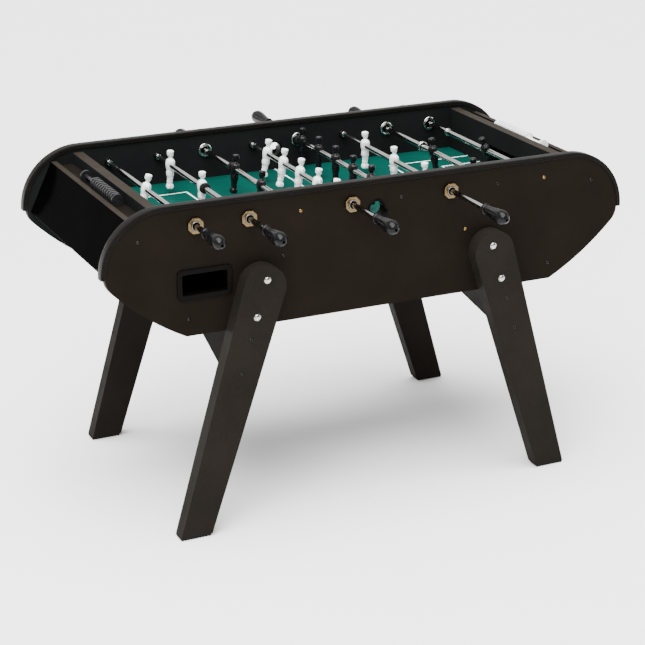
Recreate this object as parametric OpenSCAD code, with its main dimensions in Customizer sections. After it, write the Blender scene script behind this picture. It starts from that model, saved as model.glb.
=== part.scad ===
// Foosball table with eight telescopic rods.
// The origin is on the floor under the middle of the cabinet, +X runs along the
// cabinet and +Z is up. The near side is -Y. The whole table repeats itself when
// it is turned half a turn about Z, so each side is built once and turned.

/* [Cabinet] */
// Height of the top of the rim above the floor
rim_z = 933; // [880:1:1000]
// Height of the side panels, without the rim moulding
body_h = 350; // [340:1:400]
// Thickness of the side panels
panel_t = 22; // [18:1:28]
// Goal line to the end of the side panel
end_depth = 173; // [170:1:210]
// Radius of the panels' upper corners
corner_r = 163; // [150:1:170]
// Radius of the panels' ends below the corners
end_r = 56; // [45:1:65]
// Radius of the long curve that rises from the keel to the ends
belly_r = 778; // [700:1:900]
// Panel end to the end of the flat lower edge
keel_inset = 218; // [205:1:240]
// Thickness of the rim moulding
rim_t = 12; // [8:1:14]
// Width of the rim moulding
rim_w = 30; // [26:1:34]

/* [Field] */
// Length between the goal lines, eight rod spacings
field_len = 1200; // [1200:1:1440]
// Width between the side panels
field_w = 656; // [620:1:780]
// Rim down to the playing surface
field_drop = 145; // [140:1:160]
// Thickness of the field board
field_t = 16; // [12:1:20]
// Width of the goal mouths
goal_w = 200; // [180:1:240]
// Height of the goal mouths
goal_h = 65; // [55:1:75]
// Thickness of the goal walls
wall_t = 30; // [24:1:34]
// Rim down to the top of the goal walls
wall_drop = 21; // [16:1:30]
// Radius of the ball entry holes
entry_r = 20; // [18:0.5:21]
// Rod axis down to the middle of the ball entry holes
entry_drop = 23; // [18:1:26]
// Reach of the half-round lip that catches the ball below each entry hole
entry_lip = 16; // [10:1:22]
// Height of the stop at the lip's end above the bottom of the entry hole
entry_stop = 9; // [6:0.5:12]

/* [Ends] */
// Thickness of the leaning end panels
end_t = 16; // [12:1:18]
// Rim down to the top of the end panels
end_drop = 40; // [36:1:48]
// Rim down to the score shelf
shelf_drop = 53; // [50:1:58]
// Thickness of the score shelf
shelf_t = 16; // [12:1:18]
// Thickness of the bottom board
under_t = 18; // [14:1:20]
// Thickness of the sloping boards under the ends
slope_t = 12; // [9:1:14]
// Width of the square battens' section
batten_w = 16; // [12:1:18]
// Height of the battens' section
batten_h = 34; // [28:1:36]

/* [Rods] */
// Rim down to the rod axes
rod_drop = 60; // [56:1:66]
// Radius of the outer tubes
tube_r = 8; // [7:0.5:9]
// Wall of the outer tubes
tube_wall = 2.5; // [2:0.25:3]
// Length of the inner bars
bar_len = 480; // [440:1:520]
// Running clearance of the tubes and bars, on the radius
run_gap = 0.05; // [0.02:0.01:0.08]
// Radius of the bushings' sleeves
sleeve_r = 13; // [12:0.5:14]
// Radius of the bushings' flanges
flange_r = 21.5; // [19:0.5:24]
// Thickness of the bushings' flanges
flange_t = 6; // [4:0.5:8]
// Radius of the octagonal nuts over the corners
nut_r = 23; // [20:0.5:25]
// Thickness of the octagonal nuts
nut_t = 9; // [7:0.5:11]
// Sleeve left standing beyond the nuts
sleeve_out = 3; // [1:0.5:5]
// Radius of the bar mounts' bases
mount_r = 12; // [10:0.5:14]
// Height of the bar mounts
mount_h = 16; // [13:0.5:20]

/* [Players] */
// Spacing of the two-man rods' players
gap_2 = 245; // [220:1:260]
// Spacing of the three-man rods' players
gap_3 = 187; // [170:1:200]
// Spacing of the five-man rods' players
gap_5 = 115; // [105:1:120]
// Rod axis up to the top of a player's head
head_h = 43; // [40:1:46]
// Rod axis down to the sole
sole_h = 70; // [68:1:74]
// Radius of a player's body on the rod
waist_r = 13; // [12:0.5:14]
// Width of a player along the rod
man_w = 28; // [24:1:30]
// Radius of the stop collars
collar_r = 15; // [13:0.5:17]
// Length of the stop collars
collar_len = 12; // [8:1:14]

/* [Handles] */
// Length of the handles
handle_len = 114; // [100:1:130]
// Radius of the handles' fat ends
handle_r = 20; // [18:0.5:22]
// Radius of the handles' necks
neck_r = 14.5; // [13:0.5:16]
// Handle-side player to the handle on the one- and two-man rods
reach_12 = 437; // [430:1:460]
// Handle-side player to the handle on the three-man rods
reach_3 = 337; // [330:1:360]
// Handle-side player to the handle on the five-man rods
reach_5 = 248; // [245:1:270]

/* [Legs] */
// Radius of the legs' round tops
leg_r = 61; // [54:1:66]
// Thickness of the legs
leg_t = 44; // [36:1:48]
// Panel end to the middle of a leg's top
leg_inset = 425; // [400:1:440]
// Panel's lower edge up to the middle of a leg's top
leg_rise = 118; // [110:1:130]
// How far a foot stands outward of its leg's top
leg_splay = 212; // [180:1:240]
// Length of a foot along the floor
foot_w = 90; // [80:1:100]
// Thickness of the foot pads, teeth and all
pad_h = 8; // [6:0.5:12]
// Depth of the pads' teeth
tooth_h = 4; // [2:0.5:5]
// Thickness of the leg braces
brace_t = 22; // [18:1:26]

/* [Ball return] */
// Panel end to the middle of the return opening
return_inset = 271; // [268:1:280]
// Lower edge of the panel up to the middle of the opening
return_rise = 143; // [138:1:148]
// Width of the return opening
return_w = 126; // [100:1:130]
// Height of the return opening
return_h = 56; // [48:1:60]
// Thickness of the ball trays
tray_t = 8; // [6:1:10]
// Fall of a ball tray over its length
tray_fall = 23; // [15:1:30]

/* [Score counters] */
// Length between the counters' end plates
counter_len = 250; // [240:1:290]
// Length of a score tab along its rail
tab_t = 16; // [14:0.5:18]
// Width of a score tab
tab_w = 28; // [24:1:30]
// Height of a score tab
tab_h = 32; // [28:1:34]
// Width of a score tab's flat top
tab_top_w = 17; // [12:1:20]
// Thickness of a score tab's plate
tab_plate_t = 9; // [6:0.5:11]
// Radius of the counters' rails
rail_r = 5; // [4:0.5:6]

/* [Fasteners] */
// Radius of the wood screws' heads
screw_head_r = 5.2; // [4:0.1:6]
// Radius of the wood screws' shanks
screw_r = 2.4; // [2:0.1:3]
// Radius of the leg bolts' domed heads
bolt_head_r = 10; // [8:0.5:11]
// Radius of the leg bolts' shanks
bolt_r = 4; // [3:0.5:5]

/* [Hidden] */
$fn = 48;
white = [0.92, 0.92, 0.9];
black = [0.05, 0.05, 0.05];

// Heights
panel_top = rim_z - rim_t;
panel_bot = panel_top - body_h;
corner_z = panel_top - corner_r;
rod_z = rim_z - rod_drop;
field_z = rim_z - field_drop;
field_bot = field_z - field_t;
wall_top = rim_z - wall_drop;
shelf_z = rim_z - shelf_drop;
entry_z = rod_z - entry_drop;

// Half sizes
half_len = field_len / 2 + end_depth;
goal_x = field_len / 2;
wall_x = goal_x + wall_t;
in_y = field_w / 2;
out_y = in_y + panel_t;

// Outline of a side panel: keel, belly curve, end, upper corner
corner_c = [half_len - corner_r, corner_z];
end_c = [half_len - end_r, corner_z];
keel = [half_len - keel_inset, panel_bot];
keel_to_end = end_c - keel;
keel_dist = norm(keel_to_end);
keel_dir = keel_to_end / keel_dist;
belly_along = (pow(belly_r, 2) - pow(belly_r - end_r, 2) + pow(keel_dist, 2)) / (2 * keel_dist);
belly_up = sqrt(pow(belly_r, 2) - pow(belly_along, 2));
belly_c = keel + belly_along * keel_dir + belly_up * [-keel_dir.y, keel_dir.x];
belly_start = heading(keel - belly_c);
belly_end = heading(end_c - belly_c);

// The leaning end panels and the sloping boards under them
end_lean_top = 57.5;
end_foot_set = 10;
end_gap = 6;
end_top_r = (rim_z - end_drop - corner_z) / sin(end_lean_top);
end_top = corner_c + end_top_r * [cos(end_lean_top), sin(end_lean_top)];
end_bot = [half_len - end_foot_set, corner_z - end_gap];
end_run = end_bot - end_top;
end_wide = end_t * norm(end_run) / abs(end_run.y);
under_rise = 38;
under_z = panel_bot + under_rise;
slope_inset = 3;
slope_start = [goal_x, under_z];
slope_stop = [end_bot.x - slope_inset, end_bot.y];
slope_run = slope_stop - slope_start;
slope_tall = slope_t * norm(slope_run) / slope_run.x;
slope_wide = slope_t * norm(slope_run) / slope_run.y;

// Battens and the wood screws that hold them
field_batten = [field_len * 0.23, field_bot - batten_h / 2];
batten_gap = 2;
end_batten_z = shelf_z - shelf_t - batten_h / 2;
end_batten = [end_inner_x(end_batten_z + batten_h / 2) - batten_gap - batten_w / 2, end_batten_z];
under_screw_inset = 7;
under_screw = [keel.x - under_screw_inset, under_z + under_t / 2];
screw_spots = [field_batten, end_batten, under_screw];
screw_head_h = 3;
screw_bite = 20;
screw_gap = 0.1;
pilot_r = screw_r + screw_gap;

// Legs, measured along their own axes from the middles of their round tops
leg_c = [half_len - leg_inset, panel_bot + leg_rise];
leg_lean = atan(leg_splay / leg_c.y);
foot_x = leg_c.x + leg_splay;
bolt_spots = [-22, 82];
leg_screw_spots = [147, 243];
bolt_head_h = 6;
bolt_bite = panel_t - 2;
brace_top = 130;
brace_foot = 280;
brace_arch = 77;
brace_flat = 120;
teeth = 10;
pad_inset = 1.5;

// Ball return
return_c = [-(half_len - return_inset), panel_bot + return_rise];
trim_t = 5;
bezel_edge = 9;
bezel_out = 5;
bezel_corner = 10;
entry_flange = 6;
entry_out = 3;
entry_bevel = 2;
entry_stop_t = 3;
tray_sink = 14;
tray_z = return_c.y - return_h / 2 - tray_sink;
tray_in_x = half_len - return_inset - return_w / 2 - tray_t;
tray_out_x = goal_x + wall_t + 11;
tray_lip = 44;

// Rods
rods = 8;
rod_pitch = field_len / rods;
rod_end = rods - 1;
handle_side = [-1, -1, 1, -1, 1, -1, 1, 1];
men = [1, 2, 3, 5, 5, 3, 2, 1];
// How far each rod is drawn out, from 0 pushed in to 1 pulled out
drawn = [0.35, 0.20, 0.05, 0.61, 0.98, 0.56, 0.225, 0.295];
// How far each rod is turned at rest, in degrees, the players' heads going to +X
lean = [16, 3, 5, 10, 0, 0, -11, -26];
stop_gap = 1;
tail = 24;
goalie_tail = 215;
// Handle-side player to the stop collar's middle
stop_at = [222, 21, 21, 21, 21, 21, 66, 231];
// Stop collar radii
stop_r = [collar_r, collar_r, collar_r, collar_r, collar_r, collar_r, collar_r, 11.5];
tube_bore = tube_r - tube_wall;
bar_r = tube_bore - run_gap;
bar_seat = 10;
bar_seat_gap = 0.5;
handle_bore = 70;
handle_hole_r = 5;

// Score counters
counter_x = (wall_x + end_inner_x(shelf_z)) / 2;
counter_z = shelf_z + tab_h / 2 + 2;
plate_t = 6;
plate_w = 32;
tab_count = 11;
tab_gap = 1;
tab_bevel = 4;
tab_shoulder = (tab_w - tab_top_w) / 2;
tab_hub_r = rail_r + 4;

// Direction of a vector in degrees
function heading(v) = atan2(v.y, v.x);

// Points along an arc, without its first point
function arc(c, r, a0, a1, n) = [for (i = [1:n]) c + r * [cos(a0 + (a1 - a0) * i / n), sin(a0 + (a1 - a0) * i / n)]];

// A half outline and its mirror image, as one loop
function both_halves(half) = concat(half, [for (i = [len(half) - 1:-1:0]) [-half[i].x, half[i].y]]);

// The inner face of an end panel at a height
function end_inner_x(z) = end_top.x - end_wide + (end_top.y - z) * end_run.x / -end_run.y;

// A point on a leg's axis
function leg_at(s) = leg_c + s * [sin(leg_lean), -cos(leg_lean)];

// Where the line from p touches a circle: side 1 turns left, -1 right
function touch(c, r, p, side) = let (v = c - p, a = heading(v) + side * asin(r / norm(v)))
    p + sqrt(pow(norm(v), 2) - pow(r, 2)) * [cos(a), sin(a)];

// The point at a height on the line between two points
function at_height(p, q, z) = p + (q - p) * (z - p.y) / (q.y - p.y);

// Rod places and travel, in the frame of a rod whose handle is at -Y
function rod_x(i) = (i - rod_end / 2) * rod_pitch;
function gap(i) = men[i] == 2 ? gap_2 : men[i] == 3 ? gap_3 : gap_5;
function reach(i) = men[i] == 5 ? reach_5 : men[i] == 3 ? reach_3 : reach_12;
function tube_tail(i) = men[i] == 1 ? goalie_tail : tail;
function half_span(i) = (men[i] - 1) * gap(i) / 2;
function most_in(i) = min(
    in_y - mount_h - stop_gap - tube_tail(i) - half_span(i),
    half_span(i) + reach(i) - out_y - nut_t - sleeve_out - 2 * stop_gap
);
function most_out(i) = half_span(i) + stop_at[i] + collar_len / 2 + stop_gap + flange_t - in_y;
function rest(i) = most_in(i) + drawn[i] * (most_out(i) - most_in(i));
function neck_y(i) = rest(i) - half_span(i) - reach(i);

// A flat shape drawn in X and Z, from y0 to y1
module plate(y0, y1) translate([0, y1, 0]) rotate([90, 0, 0]) linear_extrude(y1 - y0) children();

// A flat shape drawn in Y and Z, from x0 to x1
module beam(x0, x1) translate([x0, 0, 0]) rotate([90, 0, 90]) linear_extrude(x1 - x0) children();

// Turns a piece drawn along +Z so that it runs along +Y
module along_y() rotate([-90, 0, 0]) children();

// The piece and its copy half a turn round the table
module twice() {
    children();
    rotate([0, 0, 180]) children();
}

// A piece of rod i: it is drawn for a handle at -Y
module on_rod(i) translate([rod_x(i), 0, rod_z]) rotate([0, 0, handle_side[i] < 0 ? 0 : 180]) children();

// A round hole along Y through the near side
module near_hole(p, r, y0, y1) translate([p.x, y0, p.y]) along_y() cylinder(r = r, h = y1 - y0);

// A rectangle with round corners, centred
module round_rect(w, h, r) {
    square([w - 2 * r, h], center = true);
    square([w, h - 2 * r], center = true);
    for (x = [-1, 1], z = [-1, 1]) translate([x * (w / 2 - r), z * (h / 2 - r)]) circle(r);
}

// A screw along +Y whose domed head stands before the origin
module screw(head_r, head_h, shank_r, shank_len) along_y() rotate_extrude() polygon([
    [0, -head_h], [head_r * 0.45, -head_h * 0.88], [head_r * 0.8, -head_h * 0.6], [head_r, -head_h * 0.15],
    [head_r, 0], [shank_r, 0], [shank_r, shank_len], [0, shank_len]
]);

module side_panel() {
    half = concat(
        [keel],
        arc(belly_c, belly_r, belly_start, belly_end, 8),
        arc(end_c, end_r, belly_end, 0, 5),
        arc(corner_c, corner_r, 0, 90, 16)
    );
    color([0.11, 0.1, 0.09]) difference() {
        plate(-out_y, -in_y) polygon(both_halves(half));
        for (i = [0:rod_end]) {
            r = handle_side[i] < 0 ? sleeve_r : pilot_r;
            near_hole([rod_x(i), rod_z], r, -out_y - 1, 1 - in_y);
        }
        near_hole([0, entry_z], entry_r + trim_t - 1, -out_y - 1, 1 - in_y);
        for (p = screw_spots, s = [-1, 1]) near_hole([s * p.x, p.y], pilot_r, -out_y - 1, 1 - in_y);
        for (d = bolt_spots, s = [-1, 1])
            near_hole([s * leg_at(d).x, leg_at(d).y], bolt_r, -out_y - 1, bolt_bite - out_y);
        plate(-out_y - 1, 1 - in_y) translate(return_c)
            round_rect(return_w + 2 * trim_t, return_h + 2 * trim_t, bezel_corner);
    }
}

module side_panel_near() side_panel();

module side_panel_far() rotate([0, 0, 180]) side_panel();

module rim_mouldings() {
    outer = concat([[half_len + rim_t, corner_z]], arc(corner_c, corner_r + rim_t, 0, 90, 16));
    inner = concat([[half_len, corner_z]], arc(corner_c, corner_r, 0, 90, 16));
    mid_y = (in_y + out_y) / 2;
    far_half = [for (p = both_halves(inner)) p];
    near_first = [for (i = [len(far_half) - 1:-1:0]) far_half[i]];
    color([0.08, 0.08, 0.08]) twice() plate(-mid_y - rim_w / 2, rim_w / 2 - mid_y)
        polygon(concat(both_halves(outer), near_first));
}

module end_panels() color([0.03, 0.03, 0.03]) twice() plate(-in_y, in_y)
    polygon([end_top, end_bot, end_bot - [end_wide, 0], end_top - [end_wide, 0]]);

module goal_walls() color([0.25, 0.22, 0.2]) twice() beam(goal_x, wall_x) difference() {
    translate([-in_y, field_bot]) square([field_w, wall_top - field_bot]);
    translate([-goal_w / 2, field_z]) square([goal_w, goal_h]);
}

module score_shelves() color([0.2, 0.18, 0.16]) twice() plate(-in_y, in_y) polygon([
    [wall_x, shelf_z - shelf_t], [wall_x, shelf_z],
    [end_inner_x(shelf_z), shelf_z], [end_inner_x(shelf_z - shelf_t), shelf_z - shelf_t]
]);

module playfield() color([0, 0.4, 0.3]) translate([-goal_x, -in_y, field_bot]) cube([field_len, field_w, field_t]);

module cross_battens() color([0.5, 0.4, 0.25]) for (p = [field_batten, end_batten], s = [-1, 1]) {
    translate([s * p.x, 0, p.y]) difference() {
        cube([batten_w, field_w, batten_h], center = true);
        for (t = [0, 180]) rotate([0, 0, t]) near_hole([0, 0], pilot_r, -in_y - 1, screw_bite - in_y);
    }
}

module underside_boards() color([0.1, 0.1, 0.1]) {
    difference() {
        translate([-goal_x, -in_y, under_z]) cube([field_len, field_w, under_t]);
        twice() for (s = [-1, 1]) near_hole([s * under_screw.x, under_screw.y], pilot_r, -in_y - 1, screw_bite - in_y);
    }
    twice() plate(-in_y, in_y) polygon([
        slope_start, slope_stop, slope_stop - [slope_wide, 0], slope_start + [0, slope_tall]
    ]);
}

module ball_trays() color([0.06, 0.06, 0.06]) twice() {
    beam(-tray_out_x, -tray_in_x) sloped_band(-tray_t, 0);
    beam(-tray_in_x - tray_t, -tray_in_x) sloped_band(-tray_t, tray_lip);
}

// A band that falls towards the near side, between two heights above the tray's floor
module sloped_band(low, high) polygon([
    [-in_y, tray_z + low], [in_y, tray_z + tray_fall + low],
    [in_y, tray_z + tray_fall + high], [-in_y, tray_z + high]
]);

module opening_trims() color([0.05, 0.05, 0.05]) twice() {
    difference() {
        union() {
            plate(-out_y - bezel_out, -out_y) translate(return_c)
                round_rect(return_w + 2 * (trim_t + bezel_edge), return_h + 2 * (trim_t + bezel_edge), bezel_corner + 4);
            plate(-out_y, -in_y) translate(return_c)
                round_rect(return_w + 2 * trim_t, return_h + 2 * trim_t, bezel_corner);
        }
        plate(-out_y - bezel_out - 1, 1 - in_y) translate(return_c) round_rect(return_w, return_h, bezel_corner - trim_t);
    }
    translate([0, 0, entry_z]) {
        along_y() rotate_extrude() polygon([
            [entry_r, -in_y], [entry_r, -out_y], [entry_r + entry_bevel, -out_y - entry_out],
            [entry_r + entry_flange, -out_y - entry_out], [entry_r + entry_flange + entry_bevel, -out_y],
            [entry_r + trim_t - 1, -out_y], [entry_r + trim_t - 1, -in_y]
        ]);
        difference() {
            near_hole([0, 0], entry_r + entry_flange, -out_y - entry_out - entry_lip, -out_y - 1);
            near_hole([0, 0], entry_r + entry_bevel, -out_y - entry_out - entry_lip - 1, 1 - out_y);
            translate([-entry_r - entry_flange - 1, -out_y - entry_out - entry_lip - 1, 0])
                cube([2 * (entry_r + entry_flange + 1), entry_lip + entry_out + 2, entry_r + entry_flange + 1]);
        }
        translate([0, -out_y - entry_out - entry_lip, 0]) intersection() {
            along_y() cylinder(r = entry_r + entry_flange, h = entry_stop_t);
            translate([-entry_r - entry_flange, -1, -entry_r - entry_flange])
                cube([2 * (entry_r + entry_flange), entry_stop_t + 2, entry_flange + entry_stop]);
        }
    }
}

module leg(x_side, y_side) {
    outer_toe = [foot_x + foot_w / 2, 0];
    inner_toe = [foot_x - foot_w / 2, 0];
    outer_top = touch(leg_c, leg_r, outer_toe, -1);
    inner_top = touch(leg_c, leg_r, inner_toe, 1);
    color([0.12, 0.11, 0.1]) mirror([x_side < 0 ? 1 : 0, 0, 0]) mirror([0, y_side > 0 ? 1 : 0, 0]) difference() {
        plate(-out_y - leg_t, -out_y) {
            translate(leg_c) circle(leg_r);
            polygon([
                at_height(outer_toe, outer_top, pad_h), outer_top, inner_top, at_height(inner_toe, inner_top, pad_h)
            ]);
        }
        for (d = bolt_spots) near_hole(leg_at(d), bolt_r, -out_y - leg_t - 1, 1 - out_y);
        for (d = leg_screw_spots) near_hole(leg_at(d), pilot_r, -out_y - leg_t - 1, 1 - out_y);
    }
}

module leg_near_left() leg(-1, -1);

module leg_near_right() leg(1, -1);

module leg_far_left() leg(-1, 1);

module leg_far_right() leg(1, 1);

module leg_braces() color([0.12, 0.11, 0.1]) twice() translate([leg_c.x, 0, leg_c.y]) rotate([0, -leg_lean, 0])
    difference() {
        beam(-brace_t / 2, brace_t / 2) polygon([
            [-out_y, -brace_top], [-out_y, -brace_foot], [-brace_flat / 2, brace_arch - brace_foot],
            [brace_flat / 2, brace_arch - brace_foot], [out_y, -brace_foot], [out_y, -brace_top]
        ]);
        for (d = leg_screw_spots, t = [0, 180]) translate([0, 0, -d]) rotate([0, 0, t])
            near_hole([0, 0], pilot_r, -out_y - 1, screw_bite - out_y);
    }

// One serrated pad under the foot at +X on the near side
module foot_pad() {
    x0 = foot_x - foot_w / 2 + pad_inset;
    pitch = (foot_w - 2 * pad_inset) / teeth;
    tooth = [[0.1, tooth_h], [0.3, 0], [0.7, 0], [0.9, tooth_h]];
    edge = [for (i = [0:teeth - 1], p = tooth) [x0 + (i + p.x) * pitch, p.y]];
    plate(-out_y - leg_t + pad_inset, -out_y - pad_inset)
        polygon(concat([[x0, pad_h], [x0, tooth_h]], edge, [[x0 + teeth * pitch, tooth_h], [x0 + teeth * pitch, pad_h]]));
}

module foot_pads() color([0.05, 0.05, 0.05]) twice() {
    foot_pad();
    mirror([1, 0, 0]) foot_pad();
}

module leg_bolts() color([0.85, 0.85, 0.87]) twice() for (d = bolt_spots, s = [-1, 1])
    translate([s * leg_at(d).x, -out_y - leg_t, leg_at(d).y])
        screw(bolt_head_r, bolt_head_h, bolt_r, leg_t + bolt_bite);

module wood_screws() color([0.1, 0.1, 0.1]) {
    twice() {
        for (p = screw_spots, s = [-1, 1]) translate([s * p.x, -out_y, p.y])
            screw(screw_head_r, screw_head_h, screw_r, panel_t + screw_bite - 1);
        for (d = leg_screw_spots, s = [-1, 1]) translate([s * leg_at(d).x, -out_y - leg_t, leg_at(d).y])
            screw(screw_head_r, screw_head_h, screw_r, leg_t + screw_bite - 1);
    }
    for (i = [0:rod_end]) on_rod(i) rotate([0, 0, 180]) translate([0, -out_y, 0])
        screw(screw_head_r, screw_head_h, screw_r, panel_t + mount_h - bar_seat - 2);
}

module rod_bushings() color([0.6, 0.65, 0.66]) for (i = [0:rod_end]) on_rod(i) along_y() rotate_extrude() polygon([
    [tube_r + run_gap, -out_y - nut_t - sleeve_out], [sleeve_r, -out_y - nut_t - sleeve_out],
    [sleeve_r, -in_y], [flange_r, -in_y], [flange_r, flange_t - 2 - in_y], [flange_r - 2, flange_t - in_y],
    [tube_r + run_gap, flange_t - in_y]
]);

module rod_nuts() color([0.75, 0.58, 0.3]) for (i = [0:rod_end]) on_rod(i) translate([0, -out_y - nut_t, 0])
    along_y() difference() {
        rotate([0, 0, 22.5]) cylinder(r = nut_r, h = nut_t, $fn = 8);
        translate([0, 0, -1]) cylinder(r = sleeve_r, h = nut_t + 2);
    }

module bar_mounts() color([0.85, 0.85, 0.87]) for (i = [0:rod_end]) on_rod(i) rotate([0, 0, 180])
    translate([0, -in_y, 0]) along_y() rotate_extrude() polygon([
        [pilot_r, 0], [mount_r, 0], [mount_r, 4], [mount_r - 1.2, 7], [mount_r - 2.5, 11], [mount_r - 3, mount_h - 2],
        [mount_r - 4, mount_h], [bar_r + run_gap, mount_h], [bar_r + run_gap, mount_h - bar_seat],
        [pilot_r, mount_h - bar_seat]
    ]);

// A rail along Y beside the right goal wall, held by two round-topped plates
module counter_rail(tint) color(tint) translate([counter_x, 0, counter_z]) {
    translate([0, -counter_len / 2 - plate_t, 0]) along_y() cylinder(r = rail_r, h = counter_len + 2 * plate_t);
    for (s = [-1, 1]) translate([0, s * (counter_len + plate_t) / 2, 0]) difference() {
        plate(-plate_t / 2, plate_t / 2) {
            circle(plate_w / 2);
            translate([-plate_w / 2, shelf_z - counter_z]) square([plate_w, counter_z - shelf_z]);
        }
        translate([0, -plate_t, 0]) along_y() cylinder(r = rail_r + run_gap, h = 2 * plate_t);
    }
}

module counter_rail_right() counter_rail(white);

module counter_rail_left() rotate([0, 0, 180]) counter_rail(black);

// A score tab: a hub that runs on the rail and a plate with sloping shoulders
module score_tab() difference() {
    union() {
        along_y() cylinder(r = tab_hub_r, h = tab_t - tab_gap);
        translate([0, (tab_t - tab_gap - tab_plate_t) / 2, 0]) plate(0, tab_plate_t) polygon([
            [-tab_w / 2, tab_bevel - tab_h / 2], [tab_bevel - tab_w / 2, -tab_h / 2],
            [tab_w / 2 - tab_bevel, -tab_h / 2], [tab_w / 2, tab_bevel - tab_h / 2],
            [tab_w / 2, tab_h / 2 - tab_shoulder], [tab_top_w / 2, tab_h / 2],
            [-tab_top_w / 2, tab_h / 2], [-tab_w / 2, tab_h / 2 - tab_shoulder]
        ]);
    }
    translate([0, -1, 0]) along_y() cylinder(r = rail_r + run_gap, h = tab_t + 2);
}

// Score tabs side by side on the right rail, counted from its far end
module score_tabs(first, last, tint) color(tint) for (k = [first:last])
    translate([counter_x, counter_len / 2 - (k + 1) * tab_t, counter_z]) score_tab();

module score_tabs_right() score_tabs(0, tab_count - 2, white);

module score_tab_right_front() score_tabs(tab_count - 1, tab_count - 1, white);

module score_tabs_left() rotate([0, 0, 180]) score_tabs(0, tab_count - 2, black);

module score_tab_left_front() rotate([0, 0, 180]) score_tabs(tab_count - 1, tab_count - 1, black);

module inner_bar(i) color([0.8, 0.8, 0.82]) on_rod(i)
    translate([0, in_y - mount_h + bar_seat - bar_seat_gap - bar_len, 0]) along_y() cylinder(r = bar_r, h = bar_len);

module tube(i) {
    y0 = neck_y(i) - handle_bore;
    y1 = rest(i) + half_span(i) + tube_tail(i);
    color([0.8, 0.8, 0.82]) on_rod(i) translate([0, y0, 0]) along_y() difference() {
        cylinder(r = tube_r, h = y1 - y0);
        translate([0, 0, -1]) cylinder(r = tube_bore, h = y1 - y0 + 2);
    }
}

// One player standing on the rod, with a hole for the tube along Y
module player() difference() {
    union() {
        translate([0, -man_w / 2 + 2, 0]) along_y() cylinder(r = waist_r, h = man_w - 4);
        translate([0, -man_w / 2, 14]) along_y() cylinder(r = 7.5, h = man_w);
        translate([0, 0, 16]) cylinder(r = 5, h = 12);
        translate([0, 0, head_h - 10]) sphere(10);
        rotate([90, 0, 0]) translate([0, 0, -9]) linear_extrude(18)
            polygon([[-9, 0], [9, 0], [6.5, 20 - sole_h], [-6.5, 20 - sole_h]]);
        translate([-10, -10, -sole_h]) cube([20, 20, 21]);
    }
    translate([0, -man_w, 0]) along_y() cylinder(r = tube_r, h = 2 * man_w);
}

module players(i, tint) color(tint) on_rod(i) {
    for (k = [0:men[i] - 1]) translate([0, rest(i) - half_span(i) + k * gap(i), 0])
        rotate([0, -handle_side[i] * lean[i], 0]) player();
    translate([0, rest(i) - half_span(i) - stop_at[i] - collar_len / 2, 0]) along_y() difference() {
        cylinder(r = stop_r[i], h = collar_len);
        translate([0, 0, -1]) cylinder(r = tube_r, h = collar_len + 2);
    }
}

// A handle on the tube's end: neck ring, slim waist, fat round end
module handle(i) color([0.04, 0.04, 0.04]) on_rod(i) translate([0, neck_y(i), 0]) along_y() rotate_extrude() polygon(concat(
    [[tube_r, 0], [neck_r - 1, 0], [neck_r, -2], [neck_r, -9], [neck_r - 2, -11]],
    [[handle_r - 1.5, -handle_len * 0.58], [handle_r, handle_r * 0.9 - handle_len]],
    [for (a = [10:20:70]) [handle_r * cos(a), handle_r * (0.9 - 0.9 * sin(a)) - handle_len]],
    [[handle_hole_r, -handle_len], [handle_hole_r, -handle_bore], [tube_r, -handle_bore]]
));

side_panel_near();
side_panel_far();
rim_mouldings();
end_panels();
goal_walls();
score_shelves();
counter_rail_left();
counter_rail_right();
playfield();
cross_battens();
underside_boards();
ball_trays();
opening_trims();
leg_near_left();
leg_near_right();
leg_far_left();
leg_far_right();
leg_braces();
foot_pads();
leg_bolts();
wood_screws();
rod_bushings();
rod_nuts();
bar_mounts();
score_tabs_left();
score_tab_left_front();
score_tabs_right();
score_tab_right_front();
inner_bar(0);  // inner_bar_1
inner_bar(1);  // inner_bar_2
inner_bar(2);  // inner_bar_3
inner_bar(3);  // inner_bar_4
inner_bar(4);  // inner_bar_5
inner_bar(5);  // inner_bar_6
inner_bar(6);  // inner_bar_7
inner_bar(7);  // inner_bar_8
tube(0);  // tube_1
tube(1);  // tube_2
tube(2);  // tube_3
tube(3);  // tube_4
tube(4);  // tube_5
tube(5);  // tube_6
tube(6);  // tube_7
tube(7);  // tube_8
players(0, white);  // players_1
players(1, white);  // players_2
players(2, black);  // players_3
players(3, white);  // players_4
players(4, black);  // players_5
players(5, white);  // players_6
players(6, black);  // players_7
players(7, black);  // players_8
handle(0);  // handle_1
handle(1);  // handle_2
handle(2);  // handle_3
handle(3);  // handle_4
handle(4);  // handle_5
handle(5);  // handle_6
handle(6);  // handle_7
handle(7);  // handle_8
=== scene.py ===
import math

import bmesh
import bpy
from mathutils import Matrix, Vector


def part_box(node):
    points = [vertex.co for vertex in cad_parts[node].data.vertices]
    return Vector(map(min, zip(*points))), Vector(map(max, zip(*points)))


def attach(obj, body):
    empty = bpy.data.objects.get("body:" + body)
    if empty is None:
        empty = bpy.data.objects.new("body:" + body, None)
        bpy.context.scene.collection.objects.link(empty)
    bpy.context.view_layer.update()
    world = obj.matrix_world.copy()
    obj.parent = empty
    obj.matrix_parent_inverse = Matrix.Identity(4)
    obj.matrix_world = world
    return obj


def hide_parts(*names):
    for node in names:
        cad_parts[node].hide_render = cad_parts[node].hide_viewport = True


bl_info = {
    "name": "Foosball Table",
    "version": (1, 0, 0),
    "blender": (4, 5, 0),
    "location": "View3D > Sidebar > Foosball Table",
    "description": "Builds the finished looks of a foosball table around its solid parts",
    "category": "Add Mesh",
}

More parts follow.
